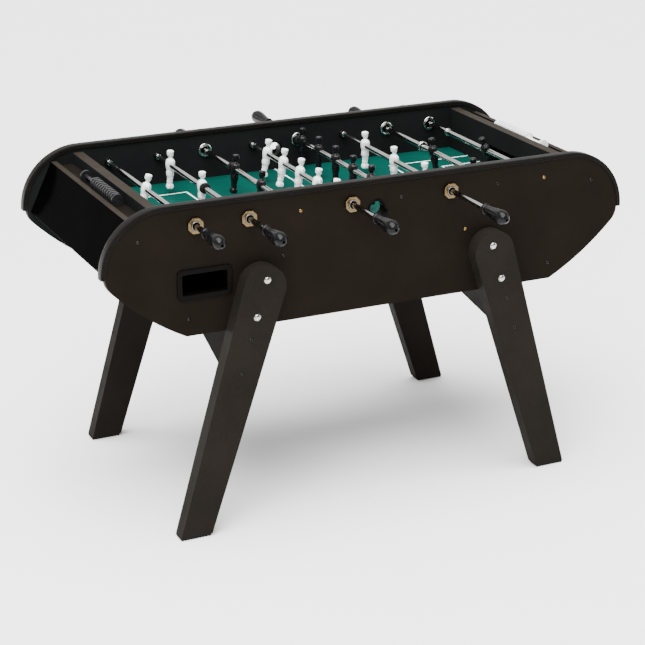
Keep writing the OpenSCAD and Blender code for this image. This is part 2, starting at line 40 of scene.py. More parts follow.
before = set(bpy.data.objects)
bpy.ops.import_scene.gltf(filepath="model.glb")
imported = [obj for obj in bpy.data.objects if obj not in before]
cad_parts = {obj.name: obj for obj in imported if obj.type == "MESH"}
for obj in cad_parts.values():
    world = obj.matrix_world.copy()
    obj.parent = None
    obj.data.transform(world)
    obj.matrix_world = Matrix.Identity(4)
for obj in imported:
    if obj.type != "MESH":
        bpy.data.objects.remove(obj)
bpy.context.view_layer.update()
MM = 0.001
RODS = range(1, 9)
WHITE_RODS = (1, 2, 4, 6)
# Rods whose handles are on the far side
TURNED_RODS = (3, 5, 7, 8)
# Rods whose stop rings are chrome instead of rubber
CHROME_STOP_RODS = (7, 8)
# How far each rod's players lean at rest, in degrees
LEAN = (16, 3, 5, 10, 0, 0, -11, -26)


# --- Measures taken from the frame -------------------------------------------


def middle(node):
    low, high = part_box(node)
    return (low + high) / 2


def islands(node):
    """The boxes of a node's separate solids, as (lowest, highest) corners"""
    bm = bmesh.new()
    bm.from_mesh(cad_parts[node].data)
    bmesh.ops.remove_doubles(bm, verts=bm.verts, dist=2e-6)
    bm.verts.ensure_lookup_table()
    seen = set()
    boxes = []
    for start in bm.verts:
        if start.index in seen:
            continue
        seen.add(start.index)
        stack = [start]
        group = []
        while stack:
            v = stack.pop()
            group.append(v.co.copy())
            for e in v.link_edges:
                other = e.other_vert(v)
                if other.index not in seen:
                    seen.add(other.index)
                    stack.append(other)
        low = Vector([min(c[i] for c in group) for i in range(3)])
        high = Vector([max(c[i] for c in group) for i in range(3)])
        boxes.append((low, high))
    bm.free()
    return boxes


ROD_Z = middle("inner_bar_1").z
HALF_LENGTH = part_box("side_panel_near")[1].x
PANEL_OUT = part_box("side_panel_far")[1].y
PANEL_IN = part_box("side_panel_far")[0].y
RIM_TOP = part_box("rim_mouldings")[1].z
FIELD_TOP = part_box("playfield")[1].z
FIELD_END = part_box("playfield")[1].x


# --- Settings ----------------------------------------------------------------


class TableSizes(bpy.types.PropertyGroup):
    """Sizes of the finishing touches that the solid parts leave plain"""

    board_edge: bpy.props.FloatProperty(
        name="Board edge rounding",
        description="Radius worked onto the edges of the boards and legs",
        default=0.0012,
        min=0.0002,
        max=0.004,
        unit="LENGTH",
    )
    metal_edge: bpy.props.FloatProperty(
        name="Metal edge rounding",
        description="Radius on the edges of the nuts, bushings and tubes",
        default=0.0005,
        min=0.0001,
        max=0.0015,
        unit="LENGTH",
    )
    line_width: bpy.props.FloatProperty(
        name="Line width",
        description="Width of the white lines on the field",
        default=0.005,
        min=0.002,
        max=0.01,
        unit="LENGTH",
    )
    box_front: bpy.props.FloatProperty(
        name="Penalty box depth",
        description="Goal line to the front of the big box",
        default=0.270,
        min=0.1,
        max=0.4,
        unit="LENGTH",
    )
    box_half: bpy.props.FloatProperty(
        name="Penalty box half width",
        description="Middle of the field to the side of the big box",
        default=0.215,
        min=0.1,
        max=0.3,
        unit="LENGTH",
    )
    goal_box_front: bpy.props.FloatProperty(
        name="Goal box depth",
        description="Goal line to the front of the small box",
        default=0.130,
        min=0.05,
        max=0.25,
        unit="LENGTH",
    )
    goal_box_half: bpy.props.FloatProperty(
        name="Goal box half width",
        description="Middle of the field to the side of the small box",
        default=0.140,
        min=0.05,
        max=0.25,
        unit="LENGTH",
    )
    circle_radius: bpy.props.FloatProperty(
        name="Centre circle radius",
        description="Radius of the circle round the middle of the field",
        default=0.098,
        min=0.05,
        max=0.15,
        unit="LENGTH",
    )
    flutes: bpy.props.IntProperty(
        name="Handle flutes",
        description="Number of long flats worked round each handle",
        default=8,
        min=4,
        max=16,
    )
    player_grain: bpy.props.FloatProperty(
        name="Player detail",
        description="Size of the smallest moulded detail on a player",
        default=0.0008,
        min=0.0005,
        max=0.002,
        unit="LENGTH",
    )


class TableColours(bpy.types.PropertyGroup):
    """Colours of the finishes"""

    laminate: bpy.props.FloatVectorProperty(
        name="Laminate",
        description="Dark laminate of the side panels and legs",
        subtype="COLOR",
        size=3,
        min=0,
        max=1,
        default=(0.0066, 0.0050, 0.0037),
    )
    edge_board: bpy.props.FloatVectorProperty(
        name="Board tops",
        description="Taupe tops of the goal walls, end panels and shelves",
        subtype="COLOR",
        size=3,
        min=0,
        max=1,
        default=(0.021, 0.0172, 0.0135),
    )
    field: bpy.props.FloatVectorProperty(
        name="Field",
        description="Green of the playing field",
        subtype="COLOR",
        size=3,
        min=0,
        max=1,
        default=(0.0, 0.044, 0.033),
    )
    white: bpy.props.FloatVectorProperty(
        name="White plastic",
        description="Players and score tabs of the white side",
        subtype="COLOR",
        size=3,
        min=0,
        max=1,
        default=(0.88, 0.90, 0.90),
    )
    black: bpy.props.FloatVectorProperty(
        name="Black plastic",
        description="Players, handles and score tabs of the black side",
        subtype="COLOR",
        size=3,
        min=0,
        max=1,
        default=(0.004, 0.004, 0.0044),
    )
    brass: bpy.props.FloatVectorProperty(
        name="Brass",
        description="Octagonal nuts",
        subtype="COLOR",
        size=3,
        min=0,
        max=1,
        default=(0.13, 0.092, 0.045),
    )


# --- Materials ---------------------------------------------------------------


class Finish:
    """A material under construction, with short ways to add its nodes"""

    def __init__(self, name, rough=0.5, metallic=0.0, specular=0.5, coat=0.0, coat_rough=0.1):
        self.material = bpy.data.materials.new(name)
        self.material.use_nodes = True
        self.nodes = self.material.node_tree.nodes
        self.links = self.material.node_tree.links
        self.shader = self.nodes["Principled BSDF"]
        self.shader.inputs["Roughness"].default_value = rough
        self.shader.inputs["Metallic"].default_value = metallic
        self.shader.inputs["Specular IOR Level"].default_value = specular
        self.shader.inputs["Coat Weight"].default_value = coat
        self.shader.inputs["Coat Roughness"].default_value = coat_rough
        self.place = self.nodes.new("ShaderNodeTexCoord").outputs["Object"]

    def mapped(self, scale):
        node = self.nodes.new("ShaderNodeMapping")
        node.inputs["Scale"].default_value = scale
        self.links.new(self.place, node.inputs["Vector"])
        return node.outputs["Vector"]

    def noise(self, scale, stretch=(1, 1, 1), detail=4.0, rough=0.55, distortion=0.0):
        node = self.nodes.new("ShaderNodeTexNoise")
        node.inputs["Scale"].default_value = scale
        node.inputs["Detail"].default_value = detail
        node.inputs["Roughness"].default_value = rough
        node.inputs["Distortion"].default_value = distortion
        self.links.new(self.mapped(stretch), node.inputs["Vector"])
        return node.outputs["Fac"]

    def specks(self, scale, stretch=(1, 1, 1)):
        node = self.nodes.new("ShaderNodeTexVoronoi")
        node.inputs["Scale"].default_value = scale
        self.links.new(self.mapped(stretch), node.inputs["Vector"])
        return node.outputs["Distance"]

    def ranged(self, value, low, high, to_low, to_high):
        node = self.nodes.new("ShaderNodeMapRange")
        self.links.new(value, node.inputs["Value"])
        for key, number in zip(("From Min", "From Max", "To Min", "To Max"), (low, high, to_low, to_high)):
            node.inputs[key].default_value = number
        return node.outputs["Result"]

    def blended(self, factor, first, second):
        node = self.nodes.new("ShaderNodeMix")
        node.data_type = "RGBA"
        self.links.new(factor, node.inputs["Factor"])
        for socket, colour in ((node.inputs["A"], first), (node.inputs["B"], second)):
            self.give(socket, colour)
        return node.outputs["Result"]

    def give(self, socket, value):
        if isinstance(value, bpy.types.NodeSocket):
            self.links.new(value, socket)
        else:
            socket.default_value = (*value, 1.0)

    def colour(self, value):
        self.links.new(value, self.shader.inputs["Base Color"])

    def roughness(self, value):
        self.links.new(value, self.shader.inputs["Roughness"])

    def bumps(self, *layers):
        """Relief from (height, strength, distance in metres) layers"""
        normal = None
        for height, strength, distance in layers:
            node = self.nodes.new("ShaderNodeBump")
            node.inputs["Strength"].default_value = strength
            node.inputs["Distance"].default_value = distance
            self.links.new(height, node.inputs["Height"])
            if normal is not None:
                self.links.new(normal, node.inputs["Normal"])
            normal = node.outputs["Normal"]
        self.links.new(normal, self.shader.inputs["Normal"])


def scaled(colour, factor):
    return tuple(min(1.0, c * factor) for c in colour)


def laminate_finish(name, colour, along, rough=0.42, specular=0.012):
    """Satin melamine with a fine pressed wood-pore relief along the board"""
    f = Finish(name, rough=rough, specular=specular)
    pores = f.noise(900, stretch=along, detail=3)
    clouds = f.noise(6, detail=3)
    toned = f.blended(f.ranged(clouds, 0.35, 0.65, 0, 1), scaled(colour, 0.86), scaled(colour, 1.14))
    f.colour(f.blended(f.ranged(pores, 0.35, 0.75, 0, 0.55), toned, scaled(colour, 1.7)))
    f.roughness(f.ranged(f.noise(30, detail=5), 0.3, 0.7, rough - 0.05, rough + 0.07))
    f.bumps((pores, 0.22, 0.00015), (f.noise(220, detail=2), 0.06, 0.0004))
    return f.material


def gloss_board_finish(name, colour):
    """Polished black laminate with a slight orange peel and a little dust"""
    f = Finish(name, rough=0.16, specular=0.002)
    f.colour(f.blended(f.ranged(f.noise(9), 0.4, 0.7, 0, 1), colour, scaled(colour, 1.6)))
    dust = f.ranged(f.noise(1300, detail=2), 0.66, 0.8, 0, 1)
    f.roughness(f.ranged(dust, 0, 1, 0.15, 0.35))
    f.bumps((f.noise(160, detail=1), 0.04, 0.0003))
    return f.material


def moulded_finish(name, colour, rough=0.32, specular=0.1, streak=(1, 1, 1)):
    """Injection-moulded or extruded plastic with faint flow marks"""
    f = Finish(name, rough=rough, specular=specular)
    flow = f.noise(60, stretch=streak, detail=4, distortion=0.4)
    f.colour(f.blended(f.ranged(flow, 0.3, 0.7, 0, 1), scaled(colour, 0.85), scaled(colour, 1.2)))
    f.roughness(f.ranged(f.noise(140, stretch=streak, detail=5), 0.25, 0.75, rough - 0.07, rough + 0.09))
    f.bumps((f.noise(1500, detail=2), 0.10, 0.0001), (flow, 0.05, 0.0003))
    return f.material


def metal_finish(name, colour, rough=0.08, brush=(1, 1, 1), brushed=0.05):
    """Plated or bare metal with brushing and finger marks"""
    f = Finish(name, rough=rough, metallic=1.0)
    lines = f.noise(700, stretch=brush, detail=4)
    marks = f.noise(35, detail=5, distortion=0.8)
    f.colour(f.blended(f.ranged(marks, 0.35, 0.7, 0, 1), colour, scaled(colour, 0.86)))
    f.roughness(f.ranged(marks, 0.3, 0.75, rough, rough + 0.12))
    f.bumps((lines, brushed, 0.0001))
    return f.material


def screw_finish(name, colour, bare):
    """A screw's plating, rubbed through to brighter metal in scattered patches"""
    f = Finish(name, rough=0.3, metallic=1.0)
    rubbed = f.ranged(f.noise(500, detail=4), 0.45, 0.7, 0, 1)
    f.colour(f.blended(rubbed, colour, bare))
    f.roughness(f.ranged(rubbed, 0, 1, 0.22, 0.4))
    f.bumps((f.noise(900, detail=3), 0.1, 0.0001))
    return f.material


def field_finish(name, colour):
    """Printed laminate with fine grain, ball tracks and scuffs"""
    f = Finish(name, rough=0.5, specular=0.05)
    fine = f.noise(420, detail=5)
    tracks = f.noise(14, stretch=(1, 2.5, 1), detail=6, distortion=1.2)
    toned = f.blended(f.ranged(fine, 0.3, 0.7, 0, 1), scaled(colour, 0.86), scaled(colour, 1.12))
    f.colour(f.blended(f.ranged(tracks, 0.5, 0.78, 0, 0.35), toned, scaled(colour, 1.35)))
    f.roughness(f.ranged(tracks, 0.3, 0.7, 0.56, 0.42))
    f.bumps((fine, 0.12, 0.0002), (f.specks(700), 0.05, 0.0002))
    return f.material


def plastic_finish(name, colour, wear, rough, specular=0.5, coat=0.15, glow=0.0):
    """Cast player and handle plastic with a soft skin, rubbed spots and mould texture"""
    f = Finish(name, rough=rough, specular=specular, coat=coat, coat_rough=0.12)
    patches = f.noise(120, detail=5, distortion=0.6)
    f.colour(f.blended(f.ranged(patches, 0.35, 0.7, 0, 1), colour, wear))
    f.roughness(f.ranged(patches, 0.3, 0.7, rough - 0.08, rough + 0.1))
    if glow:
        f.shader.inputs["Subsurface Weight"].default_value = glow
        f.shader.inputs["Subsurface Radius"].default_value = (0.004, 0.004, 0.004)
        f.shader.inputs["Subsurface Scale"].default_value = 1.0
    f.bumps((f.noise(900, detail=2), 0.08, 0.0001), (f.noise(160, detail=3), 0.06, 0.0003))
    return f.material


def rubber_finish(name, colour):
    """Matt black rubber with a grey bloom"""
    f = Finish(name, rough=0.75, specular=0.1)
    bloom = f.noise(150, detail=6)
    f.colour(f.blended(f.ranged(bloom, 0.4, 0.75, 0, 1), colour, scaled(colour, 2.2)))
    f.roughness(f.ranged(bloom, 0.3, 0.7, 0.65, 0.85))
    f.bumps((f.noise(1800, detail=3), 0.25, 0.0002))
    return f.material


def softwood_finish(name):
    """Plain pine with its growth rings, for the battens inside"""
    f = Finish(name, rough=0.6, specular=0.25)
    rings = f.noise(45, stretch=(1, 0.08, 1), detail=6, distortion=1.5)
    f.colour(f.blended(f.ranged(rings, 0.35, 0.65, 0, 1), (0.36, 0.22, 0.11), (0.55, 0.38, 0.2)))
    f.roughness(f.ranged(rings, 0.3, 0.7, 0.5, 0.7))
    f.bumps((rings, 0.2, 0.0004))
    return f.material


def floor_finish(name):
    """A pale seamless studio floor, barely mottled"""
    f = Finish(name, rough=0.9, specular=0.05)
    f.colour(f.blended(f.noise(1.5), (0.90, 0.90, 0.90), (0.93, 0.93, 0.93)))
    f.bumps((f.noise(40), 0.02, 0.001))
    return f.material


LOOKS = {}


def make_looks(colours):
    """All finishes by name. The keys are the record's slots, or a detail of one"""
    laminate, taupe = tuple(colours.laminate), tuple(colours.edge_board)
    black, white = tuple(colours.black), tuple(colours.white)
    LOOKS.update(
        side=laminate_finish("dark_laminate_lengthwise", laminate, (0.12, 1, 1)),
        # The legs are the side panels' dark laminate, painted lighter and greyer here: painted floor light on
        # the legs.
        leg=laminate_finish("upright_laminate_painted_lighter", (0.0098, 0.0082, 0.0067), (1, 1, 0.12), rough=0.45),
        inner=laminate_finish("inner_wall_laminate", (0.0078, 0.0088, 0.0086), (0.12, 1, 1), rough=0.38),
        taupe=laminate_finish("taupe_board_top", scaled(taupe, 0.85), (1, 0.12, 1), rough=0.4),
        # The shelves are the board tops' taupe painted much darker: painted shade in the recessed tray under
        # the score tabs.
        shelf=laminate_finish("taupe_shelf_painted_shade", scaled(taupe, 0.32), (1, 0.12, 1), rough=0.4),
        gloss=gloss_board_finish("black_gloss_laminate", (0.0007, 0.0006, 0.0006)),
        underside=laminate_finish("black_board", (0.008, 0.008, 0.008), (0.12, 1, 1), rough=0.6),
        rim=moulded_finish(
            "rim_extrusion", (0.0065, 0.006, 0.0054), rough=0.3, specular=0.03, streak=(0.1, 1, 1)
        ),
        trim=moulded_finish("trim_plastic", (0.0018, 0.0015, 0.0013), rough=0.3, specular=0.03),
        tray=moulded_finish("tray_plastic", (0.001, 0.001, 0.001), rough=0.45, specular=0.01),
        field=field_finish("green_field_print", tuple(colours.field)),
        line=moulded_finish("white_line_print", (0.75, 0.79, 0.76), rough=0.45, specular=0.3),
        chrome=metal_finish("polished_chrome", (0.50, 0.49, 0.48), rough=0.07, brush=(1, 0.05, 1)),
        bolt=metal_finish("rolled_chrome", (0.42, 0.42, 0.40), rough=0.16),
        # The sleeve look is chrome painted dark: painted shade on the sleeve's end inside the nut's hole.
        sleeve=metal_finish("sleeve_end_painted_shade", (0.16, 0.15, 0.14), rough=0.3, brushed=0.1),
        bar=metal_finish("drawn_steel", (0.55, 0.55, 0.55), rough=0.16, brush=(1, 0.03, 1), brushed=0.1),
        screw=screw_finish("blacked_steel", (0.010, 0.0095, 0.009), (0.05, 0.048, 0.045)),
        zinc=screw_finish("yellow_zinc_steel", (0.22, 0.14, 0.05), (0.07, 0.045, 0.02)),
        brass=metal_finish("turned_brass", tuple(colours.brass), rough=0.24, brush=(1, 1, 0.2), brushed=0.15),
        white=plastic_finish("white_player_plastic", white, scaled(white, 0.88), rough=0.33, glow=0.25),
        black=plastic_finish(
            "black_player_plastic", black, scaled(black, 1.6), rough=0.26, specular=0.18, coat=0
        ),
        handle=plastic_finish(
            "handle_plastic", scaled(black, 0.6), scaled(black, 1.3), rough=0.2, specular=0.12, coat=0
        ),
        tab_white=plastic_finish("white_tab_plastic", white, scaled(white, 0.9), rough=0.35),
        tab_black=plastic_finish(
            "black_tab_plastic", scaled(black, 2), scaled(black, 3), rough=0.32, specular=0.25, coat=0
        ),
        rubber=rubber_finish("stop_and_pad_rubber", (0.006, 0.006, 0.006)),
        pine=softwood_finish("softwood"),
    )


# --- Mesh helpers ------------------------------------------------------------


def show(name, mesh, body, slot, *replaced):
    """Puts a finished mesh in the scene on its body, in place of the CAD nodes it stands for"""
    piece = bpy.data.objects.new(name, mesh)
    bpy.context.scene.collection.objects.link(piece)
    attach(piece, body)
    if replaced:
        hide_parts(*replaced)
    return piece


def plain_mesh(seed, modifiers):
    """The mesh of an object with its modifiers worked in; the object is used up"""
    modifiers(seed)
    bpy.context.view_layer.update()
    graph = bpy.context.evaluated_depsgraph_get()
    whole = seed.evaluated_get(graph)
    mesh = bpy.data.meshes.new_from_object(whole, preserve_all_data_layers=True, depsgraph=graph)
    bpy.data.objects.remove(seed)
    return mesh


def seed_object(name, mesh):
    seed = bpy.data.objects.new(name, mesh)
    bpy.context.scene.collection.objects.link(seed)
    return seed


def merged_copy(node, keep=None):
    """A node's mesh with its loose triangles joined into clean faces"""
    bm = bmesh.new()
    bm.from_mesh(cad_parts[node].data)
    bmesh.ops.remove_doubles(bm, verts=bm.verts, dist=2e-6)
    if keep is not None:
        bmesh.ops.delete(bm, geom=[f for f in bm.faces if not keep(f.calc_center_median())], context="FACES")
    bmesh.ops.dissolve_limit(bm, angle_limit=0.004, verts=bm.verts, edges=bm.edges, delimit={"NORMAL"})
    for f in bm.faces:
        f.smooth = True
    mesh = bpy.data.meshes.new(node + "_clean")
    bm.to_mesh(mesh)
    bm.free()
    return mesh


def eased(name, mesh, width, segments=2, angle=28):
    """Works a small radius onto a mesh's sharp edges"""

    def modifiers(seed):
        bevel = seed.modifiers.new("ease", "BEVEL")
        bevel.width = width
        bevel.segments = segments
        bevel.limit_method = "ANGLE"
        bevel.angle_limit = math.radians(angle)
        weigh = seed.modifiers.new("weigh", "WEIGHTED_NORMAL")
        weigh.weight = 60
        weigh.keep_sharp = True

    return plain_mesh(seed_object(name, mesh), modifiers)


def paint(mesh, *looks, choose=None):
    """Gives a mesh its finishes; choose picks one by a face's centre and direction"""
    mesh.materials.clear()
    for look in looks:
        mesh.materials.append(LOOKS[look])
    for p in mesh.polygons:
        p.material_index = choose(p.center, p.normal) if choose else 0
    return mesh


def eased_part(node, name, look, slot, width, body="cabinet", **ease):
    """A solid part with its edges eased, in one finish"""
    mesh = eased(node, merged_copy(node), width, **ease)
    show(name, paint(mesh, look), body, slot, node)


def smooth_faces(mesh):
    for p in mesh.polygons:
        p.use_smooth = True
    return mesh


def lathe(name, profile, steps, shape=None):
    """A turned piece along +Y. The profile is (radius, place) pairs; shape may swell a radius by angle"""
    bm = bmesh.new()
    rings = []
    for radius, y in profile:
        if radius < 1e-7:
            rings.append([bm.verts.new((0, y, 0))])
            continue
        ring = []
        for k in range(steps):
            a = 2 * math.pi * k / steps
            r = shape(radius, y, a) if shape else radius
            ring.append(bm.verts.new((r * math.cos(a), y, r * math.sin(a))))
        rings.append(ring)
    for first, second in zip(rings, rings[1:]):
        for k in range(steps):
            m = (k + 1) % steps
            if len(first) == 1:
                bm.faces.new((first[0], second[k], second[m]))
            elif len(second) == 1:
                bm.faces.new((first[k], second[0], first[m]))
            else:
                bm.faces.new((first[k], second[k], second[m], first[m]))
    if profile[0] == profile[-1]:
        bmesh.ops.remove_doubles(bm, verts=bm.verts, dist=1e-7)
    bmesh.ops.recalc_face_normals(bm, faces=bm.faces)
    for f in bm.faces:
        f.smooth = True
    mesh = bpy.data.meshes.new(name)
    bm.to_mesh(mesh)
    bm.free()
    return mesh


def outward(mesh):
    """Turns every face of a closed mesh outwards"""
    bm = bmesh.new()
    bm.from_mesh(mesh)
    bmesh.ops.remove_doubles(bm, verts=bm.verts, dist=1e-7)
    bmesh.ops.recalc_face_normals(bm, faces=bm.faces)
    bm.to_mesh(mesh)
    bm.free()
    return mesh


def sharpened(mesh, angle):
    """Keeps creases sharper than the angle crisp"""
    bm = bmesh.new()
    bm.from_mesh(mesh)
    for e in bm.edges:
        if len(e.link_faces) == 2 and e.calc_face_angle(0) > math.radians(angle):
            e.smooth = False
    bm.to_mesh(mesh)
    bm.free()
    return mesh


def points_mesh(name, places):
    """Loose points, each with the turn about Z of what stands on it"""
    mesh = bpy.data.meshes.new(name)
    mesh.from_pydata([p[:3] for p in places], [], [])
    turn = mesh.attributes.new("turn", "FLOAT", "POINT")
    for k, p in enumerate(places):
        turn.data[k].value = p[3]
    return mesh


# --- Node trees --------------------------------------------------------------


def new_tree(name, *sockets):
    tree = bpy.data.node_groups.new(name, "GeometryNodeTree")
    tree.is_modifier = True
    tree.interface.new_socket(name="Geometry", in_out="INPUT", socket_type="NodeSocketGeometry")
    for label, kind in sockets:
        tree.interface.new_socket(name=label, in_out="INPUT", socket_type=kind)
    tree.interface.new_socket(name="Geometry", in_out="OUTPUT", socket_type="NodeSocketGeometry")
    return tree, tree.nodes.new("NodeGroupInput"), tree.nodes.new("NodeGroupOutput")


def object_geometry(tree, socket):
    """The mesh of the object that a modifier's input names"""
    info = tree.nodes.new("GeometryNodeObjectInfo")
    info.transform_space = "ORIGINAL"
    tree.links.new(socket, info.inputs["Object"])
    return info.outputs["Geometry"]


def finished_tree(tree, start, end, result):
    """Ends a tree with real geometry in the finish that its modifier is given"""
    real = tree.nodes.new("GeometryNodeRealizeInstances")
    coated = tree.nodes.new("GeometryNodeSetMaterial")
    tree.links.new(result, real.inputs["Geometry"])
    tree.links.new(real.outputs["Geometry"], coated.inputs["Geometry"])
    tree.links.new(start.outputs["Finish"], coated.inputs["Material"])
    tree.links.new(coated.outputs["Geometry"], end.inputs["Geometry"])
    return tree


def stamped_tree():
    """Copies of one piece on every point, turned by the points' own turn"""
    tree, start, end = new_tree(
        "Stamped pieces", ("Piece", "NodeSocketObject"), ("Finish", "NodeSocketMaterial")
    )
    link = tree.links.new
    place = tree.nodes.new("GeometryNodeInstanceOnPoints")
    turn = tree.nodes.new("GeometryNodeInputNamedAttribute")
    turn.data_type = "FLOAT"
    turn.inputs["Name"].default_value = "turn"
    about = tree.nodes.new("ShaderNodeCombineXYZ")
    link(start.outputs["Geometry"], place.inputs["Points"])
    link(object_geometry(tree, start.outputs["Piece"]), place.inputs["Instance"])
    link(turn.outputs["Attribute"], about.inputs["Z"])
    link(about.outputs["Vector"], place.inputs["Rotation"])
    return finished_tree(tree, start, end, place.outputs["Instances"])


def row_tree():
    """A row of one piece along +Y with a count and a spacing"""
    tree, start, end = new_tree(
        "Row of pieces",
        ("Piece", "NodeSocketObject"),
        ("Count", "NodeSocketInt"),
        ("Spacing", "NodeSocketFloat"),
        ("First", "NodeSocketVector"),
        ("Turn", "NodeSocketVector"),
        ("Finish", "NodeSocketMaterial"),
    )
    link = tree.links.new
    line = tree.nodes.new("GeometryNodeMeshLine")
    line.mode = "OFFSET"
    step = tree.nodes.new("ShaderNodeCombineXYZ")
    place = tree.nodes.new("GeometryNodeInstanceOnPoints")
    link(start.outputs["Count"], line.inputs["Count"])
    link(start.outputs["First"], line.inputs["Start Location"])
    link(start.outputs["Spacing"], step.inputs["Y"])
    link(step.outputs["Vector"], line.inputs["Offset"])
    link(line.outputs["Mesh"], place.inputs["Points"])
    link(object_geometry(tree, start.outputs["Piece"]), place.inputs["Instance"])
    link(start.outputs["Turn"], place.inputs["Rotation"])
    return finished_tree(tree, start, end, place.outputs["Instances"])


def moulding_tree():
    """Sweeps a profile along a path that lies upright over the panel's edge"""
    tree, start, end = new_tree(
        "Edge moulding", ("Profile", "NodeSocketObject"), ("Finish", "NodeSocketMaterial")
    )
    link = tree.links.new
    path = tree.nodes.new("GeometryNodeMeshToCurve")
    upright = tree.nodes.new("GeometryNodeSetCurveNormal")
    upright.mode = "Z_UP"
    outline = tree.nodes.new("GeometryNodeMeshToCurve")
    sweep = tree.nodes.new("GeometryNodeCurveToMesh")
    sweep.inputs["Fill Caps"].default_value = True
    link(start.outputs["Geometry"], path.inputs["Mesh"])
    link(path.outputs["Curve"], upright.inputs["Curve"])
    link(object_geometry(tree, start.outputs["Profile"]), outline.inputs["Mesh"])
    link(upright.outputs["Curve"], sweep.inputs["Curve"])
    link(outline.outputs["Curve"], sweep.inputs["Profile Curve"])
    return finished_tree(tree, start, end, sweep.outputs["Mesh"])


def grown(name, mesh, tree, **values):
    """Runs a tree on a mesh and returns the plain result"""
    keys = {
        item.name: item.identifier
        for item in tree.interface.items_tree
        if item.item_type == "SOCKET" and item.in_out == "INPUT"
    }

    def modifiers(seed):
        grow = seed.modifiers.new("grow", "NODES")
        grow.node_group = tree
        for label, value in values.items():
            grow[keys[label]] = value

    result = plain_mesh(seed_object(name, mesh), modifiers)
    bpy.data.node_groups.remove(tree)
    return result


def stamped(name, places, piece, look):
    """One mesh with a copy of the piece on every place; the piece is used up"""
    mesh = grown(name, points_mesh(name, places), stamped_tree(), Piece=piece, Finish=LOOKS[look])
    bpy.data.objects.remove(piece)
    return mesh


# --- Operators ---------------------------------------------------------------


def sizes():
    return bpy.context.scene.table_sizes


class TABLE_OT_finishes(bpy.types.Operator):
    """Make every finish of the table"""

    bl_idname = "table.finishes"
    bl_label = "Finishes"

    def execute(self, context):
        make_looks(context.scene.table_colours)
        return {"FINISHED"}


class TABLE_OT_cabinet(bpy.types.Operator):
    """Finish the boards of the cabinet"""

    bl_idname = "table.cabinet"
    bl_label = "Cabinet boards"

    def execute(self, context):
        edge = sizes().board_edge
        for side, sign in (("near", -1), ("far", 1)):
            node = "side_panel_" + side
            mesh = eased(node, merged_copy(node), edge)
            paint(mesh, "side", "inner", choose=lambda c, n, s=sign: 1 if n.y * s < -0.7 else 0)
            show(node + "_board", mesh, "cabinet", "dark_laminate", node)
        mesh = eased("end_panels", merged_copy("end_panels"), edge)
        out_up_in = lambda c, n: 1 if n.z > 0.9 else (0 if n.x * c.x > 0 else 2)
        paint(mesh, "gloss", "taupe", "inner", choose=out_up_in)
        show("end_panel_boards", mesh, "cabinet", "black_gloss_board", "end_panels")
        mesh = eased("goal_walls", merged_copy("goal_walls"), edge)
        wall_top = FIELD_TOP + 80 * MM
        paint(mesh, "inner", "taupe", choose=lambda c, n: 1 if n.z > 0.9 and c.z > wall_top else 0)
        show("goal_wall_boards", mesh, "cabinet", "taupe_board", "goal_walls")
        eased_part("score_shelves", "score_shelf_boards", "shelf", "taupe_board", edge * 0.5)
        eased_part("underside_boards", "underside_panels", "underside", "black_board", edge * 0.5)
        eased_part("cross_battens", "batten_strips", "pine", "plain_wood", edge)
        return {"FINISHED"}


class TABLE_OT_rim(bpy.types.Operator):
    """Sweep the ribbed moulding over the side panels' upper edges"""

    bl_idname = "table.rim"
    bl_label = "Rim mouldings"
    bend_steps = 32

    def execute(self, context):
        boxes = islands("rim_mouldings")
        foot = boxes[0][0].z
        for k, (low, high) in enumerate(sorted(boxes, key=lambda b: b[0].y)):
            mid_y = (low.y + high.y) / 2
            half = high.x
            thick = half - HALF_LENGTH
            radius = RIM_TOP - foot
            inner = radius - thick
            places = []
            for i in range(self.bend_steps + 1):
                a = math.pi / 2 * i / self.bend_steps
                places.append((half - radius + inner * math.cos(a), foot + inner * math.sin(a)))
            right = [(x, mid_y, z) for x, z in places]
            left = [(-x, mid_y, z) for x, z in reversed(places)]
            path = bpy.data.meshes.new("rim_path")
            line = right + left
            path.from_pydata(line, [(i, i + 1) for i in range(len(line) - 1)], [])
            profile = bpy.data.meshes.new("rim_profile")
            ring = self.outline((high.y - low.y) / 2, thick)
            profile.from_pydata(ring, [(i, (i + 1) % len(ring)) for i in range(len(ring))], [])
            shape = seed_object("rim_profile", profile)
            mesh = grown("rim", path, moulding_tree(), Profile=shape, Finish=LOOKS["rim"])
            bpy.data.objects.remove(shape)
            mesh = sharpened(smooth_faces(outward(mesh)), 24)
            name = "rim_moulding_near" if mid_y < 0 else "rim_moulding_far"
            replaced = ("rim_mouldings",) if k == 0 else ()
            show(name, mesh, "cabinet", "black_moulding", *replaced)
        return {"FINISHED"}

    def outline(self, half, thick):
        """Section of the moulding: a smooth crowned top between flanks with two beads each"""
        flank = [
            (0.92, 0.00),
            (0.98, 0.03),
            (1.00, 0.08),
            (1.00, 0.24),
            (0.98, 0.30),
            (0.89, 0.34),
            (0.89, 0.42),
            (0.98, 0.46),
            (1.00, 0.51),
            (1.00, 0.62),
            (0.98, 0.67),
            (0.88, 0.71),
            (0.88, 0.78),
            (0.93, 0.82),
            (0.94, 0.88),
            (0.90, 0.94),
            (0.80, 0.98),
            (0.50, 0.995),
        ]
        near = [(-x * half, z * thick) for x, z in flank]
        return [(x, -z, 0.0) for x, z in near + [(0.0, thick)] + [(-x, z) for x, z in reversed(near)]]


